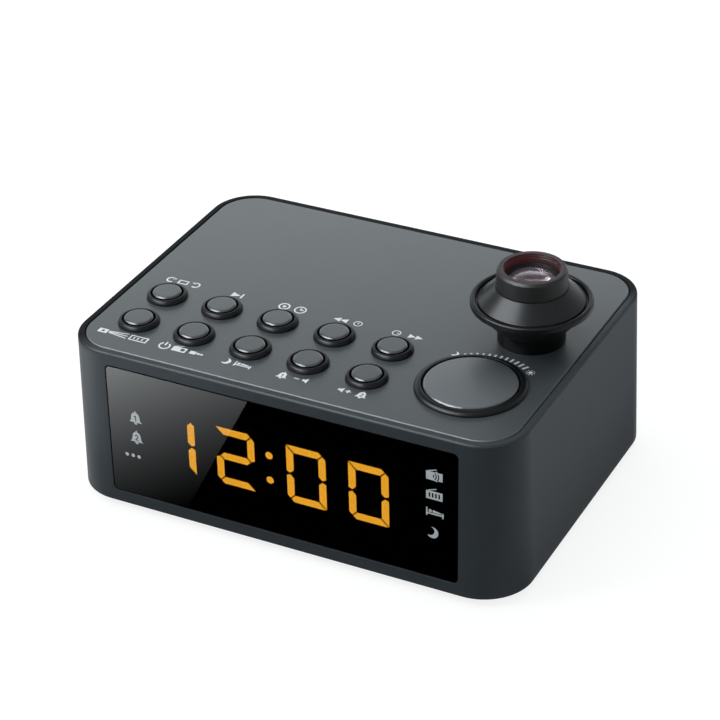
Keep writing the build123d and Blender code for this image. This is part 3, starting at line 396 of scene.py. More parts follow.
material, tree = empty_material("card_rear")
height = coordinate(tree, place_on(tree), "Y")
level = math_node(tree, "SUBTRACT", REAR_LEVEL, math_node(tree, "MULTIPLY", height, REAR_PER_METRE))
level = math_node(tree, "MINIMUM", math_node(tree, "MAXIMUM", level, REAR_LEAST), REAR_LIMIT)
above_foot = spread(tree, height, FOOT_SHARE, 1.0, FOOT_START, FOOT_END)
finish_card(rear_card, material, tree, math_node(tree, "MULTIPLY", level, above_foot))
print("rear card stands at", [round(1000 * value) for value in rear_card.location], "mm")

# %% [markdown]
# ## Moulded plastic
# A moulded case copies the surface of its steel mould. Toolmakers etch that steel, so the plastic comes out
# with a grain of a few tenths of a millimetre, and hands polish the edges first. Here a fine noise gives the
# grain as bump, a broad noise shifts the colour a little, and the Bevel node finds the edges: where its
# softened normal differs from the true one, the plastic is slightly lighter and smoother.

# %% Parts that many finishes share
def shaded(colour, factor):
    """A colour made lighter or darker, with full opacity."""
    return tuple(min(1.0, value * factor) for value in colour[:3]) + (1.0,)


def start_finish(name, roughness, **plain):
    """A material with one main shader, whose plain values sit on the shader's own sockets."""
    material = bpy.data.materials.new(name)
    material.use_nodes = True
    shader = material.node_tree.nodes["Principled BSDF"]
    shader.inputs["Roughness"].default_value = roughness
    for socket, value in plain.items():
        shader.inputs[socket.replace("_", " ")].default_value = value
    return material, material.node_tree, shader


def noise(tree, size_mm, detail=2.0, stretch=(1, 1, 1)):
    """Noise whose lumps are about size_mm across, fixed to the piece."""
    scaled = add(tree, "ShaderNodeMapping", {"Vector": place_on(tree), "Scale": stretch}).outputs[0]
    settings = {"Vector": scaled, "Scale": 1 / (size_mm * MM), "Detail": detail}
    return add(tree, "ShaderNodeTexNoise", settings).outputs[0]


def speckled(tree, size_mm, first, second, detail=2.0):
    """A colour that wanders between two shades, in lumps about size_mm across."""
    return mix_colours(tree, spread(tree, noise(tree, size_mm, detail), 0, 1), first, second)


def emboss(tree, shader, height, depth_mm, **more):
    """Raises the surface by depth_mm where height is 1."""
    bump = add(tree, "ShaderNodeBump", {"Height": height, "Distance": depth_mm * MM, **more})
    tree.links.new(bump.outputs[0], shader.inputs["Normal"])


# %% [markdown]
# Where the top of the case rolls over to the rear and to the left, it turns away from the viewer and reads
# as one dark line. A mask finds that edge by its place, and shade is painted there: the colour darkens and
# the gloss drops. A key's slopes are a little smoother than its top, since thumbs slide over them.

# %% The finish of a moulded plastic
# Painted shade on the rolled edge of the top, at the rear and the left: a darker colour and less gloss.
ROLL_AWAY = (-0.55, 0.83, 0)
ROLL_START, ROLL_FULL = -12 * MM, -2 * MM
ROLL_FOOT, ROLL_TOP = 60.8 * MM, 62.0 * MM
ROLL_PAINTED_SHADE = 0.25
ROLL_PAINTED_GLOSS = 0.02


def painted_roll_shade(tree):
    """Painted shade mask: 1 on the rolled edge of the top where it turns away, at the rear and left, else 0.
    """
    where = place_on(tree)
    away = spread(tree, vector_node(tree, "DOT_PRODUCT", where, ROLL_AWAY), 0, 1, ROLL_START, ROLL_FULL)
    high = spread(tree, coordinate(tree, where, "Z"), 0, 1, ROLL_FOOT, ROLL_TOP)
    return math_node(tree, "MULTIPLY", away, high)


CLOUD_MM = 28.0
MOTTLE = 0.06
EDGE_GAIN = 9.0
EDGE_LIGHTER = 1.7
EDGE_SMOOTHER = 0.15
GRAIN_SMOOTHER, GRAIN_ROUGHER = 0.03, 0.05
SLOPE_UPRIGHT, FLAT_UPRIGHT = 0.80, 0.98


def moulded(name, colour, roughness, grain_mm=0.35, grain_depth=0.004, wear=0.5, edge_mm=0.25, thumbed=0.0,
            paint_roll_shade=False, **plain):
    """Moulded plastic with an etched grain, a faint mottle and softly polished edges. thumbed is how much
    smoother the slopes are than the flat tops, and below 0 they are rougher. With the roll flag set, shade is
    painted on the rolled edge of the top where it turns away: a darker colour and less gloss."""
    material, tree, shader = start_finish(name, roughness, **plain)
    body = speckled(tree, CLOUD_MM, shaded(colour, 1 - MOTTLE), shaded(colour, 1 + MOTTLE), detail=4.0)
    grain = noise(tree, grain_mm, detail=3.0)
    soft = add(tree, "ShaderNodeBevel", {"Radius": edge_mm * MM}, samples=4).outputs[0]
    true = add(tree, "ShaderNodeNewGeometry").outputs["Normal"]
    turned = math_node(tree, "SUBTRACT", 1.0, vector_node(tree, "DOT_PRODUCT", soft, true))
    edge = math_node(tree, "MULTIPLY", turned, EDGE_GAIN, clamp=True)
    rubbed = math_node(tree, "MULTIPLY", edge, wear)
    wear_and_painted_shade = mix_colours(tree, rubbed, body, shaded(colour, EDGE_LIGHTER))
    # Painted shade on the rolled edge: the colour darkens and the gloss drops.
    if paint_roll_shade:
        shade = painted_roll_shade(tree)
        wear_and_painted_shade = mix_colours(tree, shade, wear_and_painted_shade, shaded(colour, ROLL_PAINTED_SHADE))
        gloss = spread(tree, shade, plain["Specular_IOR_Level"], ROLL_PAINTED_GLOSS, 0.0, 1.0)
        tree.links.new(gloss, shader.inputs["Specular IOR Level"])
    tree.links.new(wear_and_painted_shade, shader.inputs["Base Color"])
    grained = spread(tree, grain, roughness - GRAIN_SMOOTHER, roughness + GRAIN_ROUGHER)
    smoother = math_node(tree, "MULTIPLY", rubbed, EDGE_SMOOTHER)
    polished = math_node(tree, "SUBTRACT", grained, smoother, clamp=True)
    if thumbed:
        upright = coordinate(tree, true, "Z")
        slope_share = spread(tree, upright, thumbed, 0.0, SLOPE_UPRIGHT, FLAT_UPRIGHT)
        polished = math_node(tree, "SUBTRACT", polished, slope_share, clamp=True)
    tree.links.new(polished, shader.inputs["Roughness"])
    emboss(tree, shader, grain, grain_depth, Normal=soft)
    return material


# %% [markdown]
# The clock has several plastics that differ only in shade, gloss and grain. The case, the top panel and the
# key caps are nearly the same dark slate grey, and the collars and the projector are nearly black and
# smoother. The names say where each one is used.

# %% The clock's plastics
CASE_GREY = (0.043, 0.050, 0.057)
TOP_GREY = (0.040, 0.047, 0.053)
COLLAR_BLACK = (0.005, 0.006, 0.007)
FINE_GRAIN = {"grain_mm": 0.25, "grain_depth": 0.002}
KEY_GRAIN = {"grain_mm": 0.25, "grain_depth": 0.001, "edge_mm": 0.7}
finishes = {
    "housing_plastic": moulded("case_plastic", CASE_GREY, 0.42, grain_depth=0.005, paint_roll_shade=True,
                               Specular_IOR_Level=0.09),
    "panel_plastic": moulded("top_plastic", TOP_GREY, 0.38, grain_mm=0.3, thumbed=-0.2),
    "key_plastic": moulded("key_cap_plastic", TOP_GREY, 0.34, thumbed=0.14, **KEY_GRAIN),
    "collar_plastic": moulded("collar_plastic", COLLAR_BLACK, 0.32, Specular_IOR_Level=0.12, **FINE_GRAIN),
    "head_plastic": moulded("projector_plastic", (0.012, 0.014, 0.016), 0.28, Specular_IOR_Level=0.13,
                            **FINE_GRAIN),
    "inner_plastic": moulded("inner_black_plastic", (0.005, 0.005, 0.006), 0.5, wear=0.2,
                             Specular_IOR_Level=0.2),
}
print("plastics:", len(finishes))

# %% [markdown]
# The large snooze key gets a finish of its own: the same plastic, with painted light that makes it lighter
# towards the front, the way light falls on its domed top. Three pieces of the projector have their own
# finish too. The focus barrel is a little lighter and warmer than the rest, the rim ring is darker, and the
# neck is painted nearly black: black plastic, darkened further as painted shade under the head.

# %% Plastics of single pieces
# Painted light: the snooze key's colour grows lighter from its rear towards its front.
SNOOZE_REAR_Y, SNOOZE_FRONT_Y = -14 * MM, -47 * MM
SNOOZE_PAINTED_LIGHT = (0.125, 0.135, 0.145, 1)
snooze_finish = moulded("snooze_key_plastic", (0.050, 0.057, 0.063), 0.36, thumbed=0.2, **KEY_GRAIN)
tree = snooze_finish.node_tree
base = tree.nodes["Principled BSDF"].inputs["Base Color"]
towards_front = spread(tree, coordinate(tree, place_on(tree), "Y"), 0.0, 1.0, SNOOZE_REAR_Y, SNOOZE_FRONT_Y)
tree.links.new(mix_colours(tree, towards_front, base.links[0].from_socket, SNOOZE_PAINTED_LIGHT), base)

barrel_finish = moulded("barrel_plastic", (0.021, 0.020, 0.021), 0.40, Specular_IOR_Level=0.17, **FINE_GRAIN)
rim_finish = moulded("rim_plastic", (0.007, 0.008, 0.010), 0.30, Specular_IOR_Level=0.12, **FINE_GRAIN)
# Painted shade: the neck's black is darkened further, for the shade it stands in under the projector head.
neck_painted_shade_finish = moulded("neck_plastic", (0.0015, 0.0018, 0.0022), 0.28, Specular_IOR_Level=0.08, **FINE_GRAIN)
# The span printed here is where the key is painted lighter towards its front.
print("snooze key rubbed from y", round(1000 * SNOOZE_REAR_Y), "to", round(1000 * SNOOZE_FRONT_Y), "mm")

# %% [markdown]
# A gap that no light reaches is what separates one part from the next for the eye. The key walls stand in
# such a gap, and the inner lip of each collar lies half in it, so shade is painted on both: nearly black,
# with no gloss. The ten keys stand on a regular grid. So one set of nodes folds the grid onto its first
# key, and the distance from that key's middle finds the lip of all ten collars.

# %% Painted shade in the gaps round the keys
GAP_PAINTED_SHADE = (0.001, 0.001, 0.001, 1)
WALL_UPRIGHT, CAP_UPRIGHT = 0.25, 0.45
LIP_RADIUS = 6.0 * MM
LIP_SOFT = 0.12 * MM


def shade_where(finish, share):
    """Paints shade on a finish: nearly black, with no gloss, where share is 1."""
    tree = finish.node_tree
    shader = tree.nodes["Principled BSDF"]
    base, level = shader.inputs["Base Color"], shader.inputs["Specular IOR Level"]
    tree.links.new(mix_colours(tree, share, base.links[0].from_socket, GAP_PAINTED_SHADE), base)
    tree.links.new(spread(tree, share, level.default_value, 0.0, 0.0, 1.0), level)


def middle(name):
    """The middle of a piece."""
    low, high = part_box(name)
    return (low + high) / 2


def from_axis(tree, point, axis):
    """How far a point lies from the upright line through axis."""
    away = vector_node(tree, "SUBTRACT", point, axis)
    return vector_node(tree, "LENGTH", vector_node(tree, "MULTIPLY", away, (1, 1, 0)))


for finish in (finishes["key_plastic"], snooze_finish):
    tree = finish.node_tree
    upright = coordinate(tree, add(tree, "ShaderNodeNewGeometry").outputs["Normal"], "Z")
    shade_where(finish, spread(tree, upright, 1.0, 0.0, WALL_UPRIGHT, CAP_UPRIGHT))

first_key = middle("projector_key")
grid = Vector((middle("source_key").x - first_key.x, middle("rotate_key").y - first_key.y, 1.0))
collar_finish = moulded("key_collar_plastic", COLLAR_BLACK, 0.32, Specular_IOR_Level=0.12, **FINE_GRAIN)
tree = collar_finish.node_tree
folded = vector_node(tree, "WRAP", place_on(tree), first_key + grid / 2, first_key - grid / 2)
from_middle = from_axis(tree, folded, first_key)
shade_where(collar_finish, spread(tree, from_middle, 1.0, 0.0, LIP_RADIUS - LIP_SOFT, LIP_RADIUS + LIP_SOFT))
print("key grid in mm:", round(1000 * grid.x, 2), "by", round(1000 * grid.y, 2))

# %% [markdown]
# The projector's red lamp is on, and a little of its light climbs the stepped wall inside the focus barrel.
# That light is painted on: the barrel's plastic gives off a faint red where it lies close to the barrel's own
# axis, though it is no lamp. The axis is found in the barrel's own coordinates, so the painted light stays in
# the barrel when the head is tilted.

# %% Painted red light in the barrel
PAINTED_LIGHT_RADIUS = 10.6 * MM
PAINTED_LIGHT_SOFT = 0.3 * MM
PAINTED_LIGHT_STRENGTH = 0.027
PAINTED_LIGHT_RED = (1.0, 0.12, 0.14, 1)
barrel_axis = nodes["focus_barrel"].matrix_world.inverted() @ middle("focus_barrel")
tree = barrel_finish.node_tree
shader = tree.nodes["Principled BSDF"]
# Painted light: red emission on the barrel wall close to its axis.
away = from_axis(tree, place_on(tree), barrel_axis)
glow = spread(tree, away, PAINTED_LIGHT_STRENGTH, 0.0, PAINTED_LIGHT_RADIUS - PAINTED_LIGHT_SOFT, PAINTED_LIGHT_RADIUS + PAINTED_LIGHT_SOFT)
tree.links.new(glow, shader.inputs["Emission Strength"])
shader.inputs["Emission Color"].default_value = PAINTED_LIGHT_RED
print("barrel's axis at", [round(1000 * value, 1) for value in barrel_axis], "mm")

# %% [markdown]
# ## The smoked window
# The window is a plate of tinted acrylic with polished faces. It lets only a fiftieth of the light through,
# so the bars behind it glow and everything unlit stays hidden. In the shader it is clear plastic with a
# dark tint that varies by a trace, as cast plates do. Round its rim, shade is painted on the plate: a strip
# of dull black with no gloss, for the thin gap between plate and case, which closes the window with a
# fine black line.

# %% The window's finish
ACRYLIC_BENDING = 1.49
SMOKE = 0.02
SMOKE_MM = 25.0
window, tree, shader = start_finish("smoked_acrylic", 0.0, IOR=ACRYLIC_BENDING, Transmission_Weight=1.0)
smoke = speckled(tree, SMOKE_MM, shaded((SMOKE,) * 3, 0.98), shaded((SMOKE,) * 3, 1.02))
tree.links.new(smoke, shader.inputs["Base Color"])

# Painted shade: a dull black strip with no gloss round the rim of the plate.
STRIP_WIDTH = 0.35 * MM
RIM_PAINTED_SHADE = (0.002, 0.002, 0.002, 1)
PLATE_ROUND = 2.0 * MM
plate_low, plate_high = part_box("display_window")
straight = (plate_high - plate_low) / 2 - Vector((PLATE_ROUND,) * 3)
where = vector_node(tree, "SUBTRACT", place_on(tree), (plate_low + plate_high) / 2)
where = vector_node(tree, "SUBTRACT", vector_node(tree, "ABSOLUTE", where), straight)
where = vector_node(tree, "MAXIMUM", where, (0, 0, 0))
outward = vector_node(tree, "LENGTH", vector_node(tree, "MULTIPLY", where, (1, 0, 1)))
strip = math_node(tree, "GREATER_THAN", outward, PLATE_ROUND - STRIP_WIDTH)
black = add(tree, "ShaderNodeBsdfDiffuse", {"Color": RIM_PAINTED_SHADE})
edged = add(tree, "ShaderNodeMixShader", {0: strip, 1: shader.outputs[0], 2: black.outputs[0]})
tree.links.new(edged.outputs[0], tree.nodes["Material Output"].inputs["Surface"])
finishes["window_tint"] = window
print("the window lets through", SMOKE, "of the light")

# %% [markdown]
# ## The lit bars
# Each bar of a digit is a little light box: a translucent plug in a black plate, with a small lamp behind
# it. It shines evenly, give or take a twentieth. The colour is amber. Its strength allows for the window,
# which holds most of the light back. The unlit bars are the same plugs with no lamp on.

# %% The bars' finishes
BAR_SEEN = 0.80
BAR_STRENGTH = BAR_SEEN / SMOKE
AMBER = (1.0, 0.455, 0.030, 1)
BAR_BODY = (0.5, 0.22, 0.02, 1)
lit, tree, shader = start_finish("amber_bar_lit", 0.45)
shader.inputs["Base Color"].default_value = BAR_BODY
shader.inputs["Emission Color"].default_value = AMBER
glow = spread(tree, noise(tree, 1.2), BAR_STRENGTH * 0.95, BAR_STRENGTH * 1.05)
tree.links.new(glow, shader.inputs["Emission Strength"])
finishes["bar_amber"] = lit
finishes["bar_dark"] = moulded("bar_unlit", (0.012, 0.010, 0.009), 0.55, wear=0.0)
print("a bar shines with strength", round(BAR_STRENGTH), "behind the window")

# %% [markdown]
# ## Lenses
# The projector's lens, condenser and picture slide are clear. The lens has a coating that leaves a faint
# purple cast, like a camera's. One finish does for all three: clear, with a little tint and a hint of dust.

# %% The lens finish
LENS_BENDING = 1.6
LENS_CLEAR = 0.88
lens, tree, shader = start_finish("coated_lens", 0.10, IOR=LENS_BENDING, Transmission_Weight=LENS_CLEAR)
tint = speckled(tree, 3.0, (0.46, 0.38, 0.43, 1), (0.50, 0.42, 0.47, 1))
tree.links.new(tint, shader.inputs["Base Color"])
tree.links.new(spread(tree, noise(tree, 0.8), 0.08, 0.12), shader.inputs["Roughness"])
finishes["lens_clear"] = lens
print("the lens bends light by", LENS_BENDING)

# %% [markdown]
# ## Metals, rubber, boards and paper
# Inside the case, and on its underside, the clock is made of other things: zinc-plated steel, ferrite,
# pressed paper, soft silicone, rubber and circuit board. Steel is drawn or rolled, so its fine scratches run
# one way, and a stretched noise gives that. A board has copper tracks under a green lacquer, which a brick
# pattern suggests. Rubber and silicone are dull and slightly uneven.

# %% The other finishes
SCRATCH_MM = 0.15
SCRATCH_STRETCH = (0.06, 1, 1)
TRACK_MM = 12


def drawn_metal(name, colour, roughness):
    """Metal with fine scratches along one direction."""
    material, tree, shader = start_finish(name, roughness, Metallic=1.0)
    scratches = noise(tree, SCRATCH_MM, stretch=SCRATCH_STRETCH)
    toned = mix_colours(tree, spread(tree, scratches, 0, 1), shaded(colour, 0.85), shaded(colour, 1.1))
    tree.links.new(toned, shader.inputs["Base Color"])
    tree.links.new(spread(tree, scratches, roughness - 0.08, roughness + 0.1), shader.inputs["Roughness"])
    emboss(tree, shader, scratches, 0.002)
    return material


def circuit_board(name):
    """Green lacquer over copper tracks."""
    material, tree, shader = start_finish(name, 0.35)
    sizes = {"Vector": place_on(tree), "Scale": 1 / (TRACK_MM * MM), "Mortar Size": 0.04,
             "Mortar Smooth": 0.2, "Bias": 0.0}
    tracks = add(tree, "ShaderNodeTexBrick", sizes).outputs[1]
    lacquer = speckled(tree, 4.0, (0.010, 0.075, 0.030, 1), (0.014, 0.095, 0.038, 1))
    tree.links.new(mix_colours(tree, tracks, lacquer, (0.03, 0.16, 0.06, 1)), shader.inputs["Base Color"])
    emboss(tree, shader, tracks, 0.03)
    return material


def dull(name, light, dark, lump_mm, depth, roughness):
    """A dull material, speckled between two shades."""
    material, tree, shader = start_finish(name, roughness)
    lumps = noise(tree, lump_mm, detail=5.0)
    toned = mix_colours(tree, spread(tree, lumps, 0, 1), shaded(dark, 1), shaded(light, 1))
    tree.links.new(toned, shader.inputs["Base Color"])
    tree.links.new(spread(tree, lumps, roughness - 0.06, roughness + 0.06), shader.inputs["Roughness"])
    emboss(tree, shader, lumps, depth)
    return material


finishes["steel"] = drawn_metal("zinc_plated_steel", (0.58, 0.58, 0.57), 0.3)
finishes["board_green"] = circuit_board("circuit_board")
finishes["component_black"] = dull("component_black", (0.03,) * 3, (0.015,) * 3, 0.4, 0.006, 0.5)
finishes["silicone"] = dull("silicone", (0.55, 0.55, 0.53), (0.46, 0.46, 0.45), 6.0, 0.01, 0.6)
finishes["foot_rubber"] = dull("foot_rubber", (0.030, 0.030, 0.031), (0.018, 0.018, 0.019), 0.5, 0.012, 0.75)
finishes["ferrite"] = dull("ferrite", (0.09, 0.09, 0.095), (0.05, 0.05, 0.055), 0.3, 0.008, 0.55)
finishes["cone_paper"] = dull("cone_paper", (0.05,) * 3, (0.02,) * 3, 0.6, 0.03, 0.85)
finishes["cable_grey"] = dull("flat_cable", (0.5, 0.5, 0.52), (0.4, 0.4, 0.42), 1.5, 0.01, 0.5)

lamp_red, tree, shader = start_finish("projector_lamp", 0.2)
shader.inputs["Emission Color"].default_value = (1.0, 0.05, 0.03, 1)
tree.links.new(spread(tree, noise(tree, 1.0), 0.25, 0.35), shader.inputs["Emission Strength"])
lamp_body = mix_colours(tree, noise(tree, 2.0), (0.5, 0.02, 0.01, 1), (0.7, 0.05, 0.03, 1))
tree.links.new(lamp_body, shader.inputs["Base Color"])
finishes["led_red"] = lamp_red
print("finishes:", len(finishes))

# %% [markdown]
# The record of the solid model says which material slot each piece belongs to. So the finishes go on by
# slot, in one loop, and no piece is forgotten: the loop stops the script if a slot has no finish. Five pieces
# have a finish of their own instead.

# %% Put every finish on its pieces
slot_of = {part["node"]: part["material_slot"] for part in frame["record"]["subparts"]}
own_finish = {
    "snooze_key": snooze_finish,
    "focus_barrel": barrel_finish,
    "rim_ring": rim_finish,
    "swivel_base": neck_painted_shade_finish,
    "key_collars": collar_finish,
}


def dress(piece, finish):
    """Gives a whole piece one finish."""
    if not piece.material_slots:
        piece.data.materials.append(finish)
    for slot in piece.material_slots:
        slot.material = finish


for name, piece in nodes.items():
    dress(piece, own_finish.get(name, finishes[slot_of[name]]))
print("pieces dressed:", len(nodes), "of which with their own finish:", len(own_finish))

# %% [markdown]
# ## Printing
# White ink is screen-printed on the panel beside the keys. A print has a crisp edge and a thickness of a
# few hundredths of a millimetre. So each sign is drawn as flat outlines, some with holes, filled with
# triangles and given that thickness. A few small functions draw the shapes that the signs are made of.

# %% Shapes for the signs
def arc(x, y, radius, start, end, steps=20):
    """Points on an arc, angles in degrees, counter-clockwise from the right."""
    angles = [math.radians(start + (end - start) * i / steps) for i in range(steps + 1)]
    return [(x + radius * math.cos(a), y + radius * math.sin(a)) for a in angles]


def circle(x, y, radius, steps=28):
    """A closed circle."""
    return arc(x, y, radius, 0, 360 * (steps - 1) / steps, steps - 1)


def rectangle(x0, y0, x1, y1):
    """A closed rectangle."""
    return [(x0, y0), (x1, y0), (x1, y1), (x0, y1)]


def line(path, width):
    """The outline of a stroke along an open path, with mitred turns."""
    sides = ([], [])
    for i, point in enumerate(path):
        here = Vector(point)
        before = (here - Vector(path[i - 1])).normalized() if i else None
        after = (Vector(path[i + 1]) - here).normalized() if i + 1 < len(path) else None
        before, after = before or after, after or before
        across = Vector((-before.y - after.y, before.x + after.x)).normalized()
        reach = width / 2 / max(0.5, across.dot(Vector((-before.y, before.x))))
        sides[0].append(tuple(here + across * reach))
        sides[1].append(tuple(here - across * reach))
    return sides[0] + sides[1][::-1]


def shifted(marks, x, y, scale=1.0):
    """The same marks, scaled and then moved."""
    return [[[(x + scale * px, y + scale * py) for px, py in loop] for loop in mark] for mark in marks]


# %% [markdown]
# An ink layer is a closed solid: a top, a bottom and a wall round every outline and hole. The bottom lies a
# hair inside the plastic, so that no light slips in under the print.

# %% The ink itself
INK_PROUD = 0.02
INK_SUNK = 0.01

ink, tree, shader = start_finish("white_ink", 0.55)
worn_ink = speckled(tree, 0.5, (0.72, 0.73, 0.74, 1), (0.84, 0.85, 0.86, 1), detail=4.0)
tree.links.new(worn_ink, shader.inputs["Base Color"])


def ink_layer(name, marks, place, body, finish):
    """Prints marks on a flat face. place turns (x, y, height) in mm on that face into a point in metres."""
    bm = bmesh.new()
    for loops in marks:
        flat = [[Vector((x, y, 0)) for x, y in loop] for loop in loops]
        points = [point for loop in flat for point in loop]
        low = [bm.verts.new(place(p.x, p.y, -INK_SUNK)) for p in points]
        high = [bm.verts.new(place(p.x, p.y, INK_PROUD)) for p in points]
        for a, b, c in tessellate_polygon(flat):
            bm.faces.new((high[a], high[b], high[c]))
            bm.faces.new((low[c], low[b], low[a]))
        first = 0
        for loop in flat:
            count = len(loop)
            for i in range(count):
                a, b = first + i, first + (i + 1) % count
                bm.faces.new((low[a], low[b], high[b], high[a]))
            first += count
    bmesh.ops.recalc_face_normals(bm, faces=bm.faces)
    mesh = bpy.data.meshes.new(name)
    bm.to_mesh(mesh)
    bm.free()
    mesh.materials.append(finish)
    printed = bpy.data.objects.new(name, mesh)
    bpy.context.scene.collection.objects.link(printed)
    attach(printed, body)
    print(name, "has", len(marks), "marks")


# %% [markdown]
# ## The signs
# The signs are the ones found on any clock radio: a bell for the alarm, a crescent moon for sleep, double
# arrows for back and forward, a plug for the line input. Each function returns its marks round (0, 0), in
# millimetres, so that one sign can be used on the panel and, at another size, on the window.

# %% Signs made of simple shapes
def arrow_head(x, y, width, height):
    """A triangle that points right, or left if its width is negative."""
    return [[(x - width / 2, y - height / 2), (x + width / 2, y), (x - width / 2, y + height / 2)]]


def two_arrows(direction):
    """Fast forward or back."""
    return [arrow_head(direction * side, 0, direction * 2.7, 2.6) for side in (-1.35, 1.35)]


def skip_sign():
    """Next station: an arrow head against a bar."""
    return [arrow_head(-0.5, 0, 3.4, 3.0), [rectangle(1.5, -1.5, 2.2, 1.5)]]


def ring(x, y, outer, inner):
    """A flat ring."""
    return [circle(x, y, outer), circle(x, y, inner)]


def clock_face(hour_hand, minute_hand):
    """A ring with one or two hands."""
    marks = [ring(0, 0, 2.2, 1.7)]
    if hour_hand:
        marks.append([line([(0, -0.2), (0, 1.15)], 0.55)])
    if minute_hand:
        marks.append([line([(0.28, 0), (1.3, 0)], 0.5)])
    return marks


def power_sign():
    """A ring that is open at the top, with a bar in the gap."""
    return [[line(arc(0, 0, 1.9, 125, 415), 0.62)], [rectangle(-0.32, 0.3, 0.32, 2.5)]]


def radio_sign(grille):
    """A radio with its aerial. The grille is a list of holes in its front."""
    body = rectangle(-3.0, -1.7, 3.0, 1.5)
    return [[body, *grille], [line([(-2.2, 1.6), (0.8, 2.6)], 0.35)]]


def jack_sign():
    """A plug for the line input."""
    return [
        [rectangle(-3.2, -1.1, -0.4, 1.1)],
        [rectangle(-0.1, -0.55, 1.5, 0.55)],
        [[(1.8, -0.55), (2.5, -0.55), (3.2, 0), (2.5, 0.55), (1.8, 0.55)]],
    ]


def moon_sign():
    """A crescent: the outer arc, and back along a smaller one."""
    half_turn = 118
    outer = arc(0, 0, 2.2, -half_turn - 20, half_turn - 20)
    bite = arc(-1.0, 0.55, 1.75, half_turn - 38, -half_turn + 8)
    return [[outer + bite]]


def bed_sign():
    """A bed seen from the side, with a pillow."""
    return [
        [[(-3.2, 1.6), (-2.7, 1.6), (-2.7, -0.3), (2.7, -0.3), (2.7, 0.4), (3.2, 0.4),
          (3.2, -1.6), (2.7, -1.6), (2.7, -0.9), (-2.7, -0.9), (-2.7, -1.6), (-3.2, -1.6)]],
        [circle(-1.7, 0.45, 0.6)],
        [[(-0.8, -0.05), (2.4, -0.05), (2.4, 0.35), (-0.2, 0.85), (-0.8, 0.85)]],
    ]


def digit_one():
    """A plain figure one."""
    return [(-0.15, -1.1), (0.3, -1.1), (0.3, 1.1), (-0.05, 1.1), (-0.6, 0.7), (-0.6, 0.3), (-0.15, 0.55)]


def digit_two():
    """A plain figure two, drawn as one stroke."""
    return line([*arc(0, 0.45, 0.55, 170, -35, 10), (-0.5, -0.9), (0.7, -0.9)], 0.42)


def bell_sign(figure):
    """A bell with a figure cut out of it, a clapper below and a knob on top."""
    left = [(-2.6, -1.9), (-1.9, -1.2), (-1.65, 0.4)]
    dome = arc(0, 0.5, 1.6, 175, 5, 14)
    skirt = [(1.65, 0.4), (1.9, -1.2), (2.6, -1.9)]
    hole = [(x, y - 0.25) for x, y in figure]
    clapper = arc(0, -2.05, 0.75, 180, 360, 8)
    return [[left + dome + skirt, hole], [clapper], [circle(0, 2.35, 0.32, 12)]]


def speaker_sign(way, plus):
    """A loudspeaker beside a plus or minus. way is 1 where the plus or minus stands at the right."""
    horn = [(-0.9, -0.6), (0.1, -0.6), (1.3, -1.6), (1.3, 1.6), (0.1, 0.6), (-0.9, 0.6)]
    arm, reach = 0.28, 1.1
    cross = [[rectangle(-reach, -arm, reach, arm)]]
    if plus:
        cross = [[[(-reach, -arm), (-arm, -arm), (-arm, -reach), (arm, -reach), (arm, -arm), (reach, -arm),
                   (reach, arm), (arm, arm), (arm, reach), (-arm, reach), (-arm, arm), (-reach, arm)]]]
    return shifted([[horn]], -way * 1.5, 0) + shifted(cross, way * 1.8, 0)


def rotate_sign():
    """A small picture between two turning arrows: the thrown time can be turned over."""
    turn_right = [[line(arc(0, 0, 1.25, 50, 310), 0.55)], arrow_head(1.0, 0.95, 1.3, 1.3)]
    turn_left = [[[(-x, y) for x, y in loop] for loop in mark] for mark in turn_right]
    picture = [[rectangle(-1.7, -1.1, 1.7, 1.1), rectangle(-1.2, -0.65, 1.2, 0.65)]]
    return shifted(turn_left, 4.3, 0) + picture + shifted(turn_right, -4.3, 0)


def beam_sign():
    """A projector, its widening beam and the lit patch."""
    return [
        [rectangle(-8.6, -1.1, -5.4, 1.1), circle(-7.0, 0, 0.55, 14)],
        *[[line([(-5.0, near), (1.6, far)], 0.4)] for near, far in ((0.35, 1.25), (0, 0), (-0.35, -1.25))],
        [rectangle(2.4, -1.4, 8.6, 1.4), rectangle(2.9, -0.95, 8.1, 0.95)],
        *[[rectangle(x, -0.5, x + 0.5, 0.5)] for x in (3.7, 5.0, 6.5)],
    ]


# %% [markdown]
# Now the signs go to their places. Each stands a fixed step in front of or behind its key, so its place is
# taken from the key itself. Above the large snooze key, rising bars between a moon and a sun show that the
# same key dims the display.

# %% Print the top panel
REAR_STEP = 10.9
FRONT_STEP = -10.1


def plan_middle(name):
    """The middle of a piece in plan, in millimetres."""
    point = middle(name)
    return point.x / MM, point.y / MM


def beside(key, step, *signs):
    """Signs in line beside a key, each given as (marks, shift along the row, scale)."""
    x, y = plan_middle(key)
    placed = []
    for marks, shift, scale in signs:
        placed += shifted(marks, x + shift, y + step, scale)
    return placed


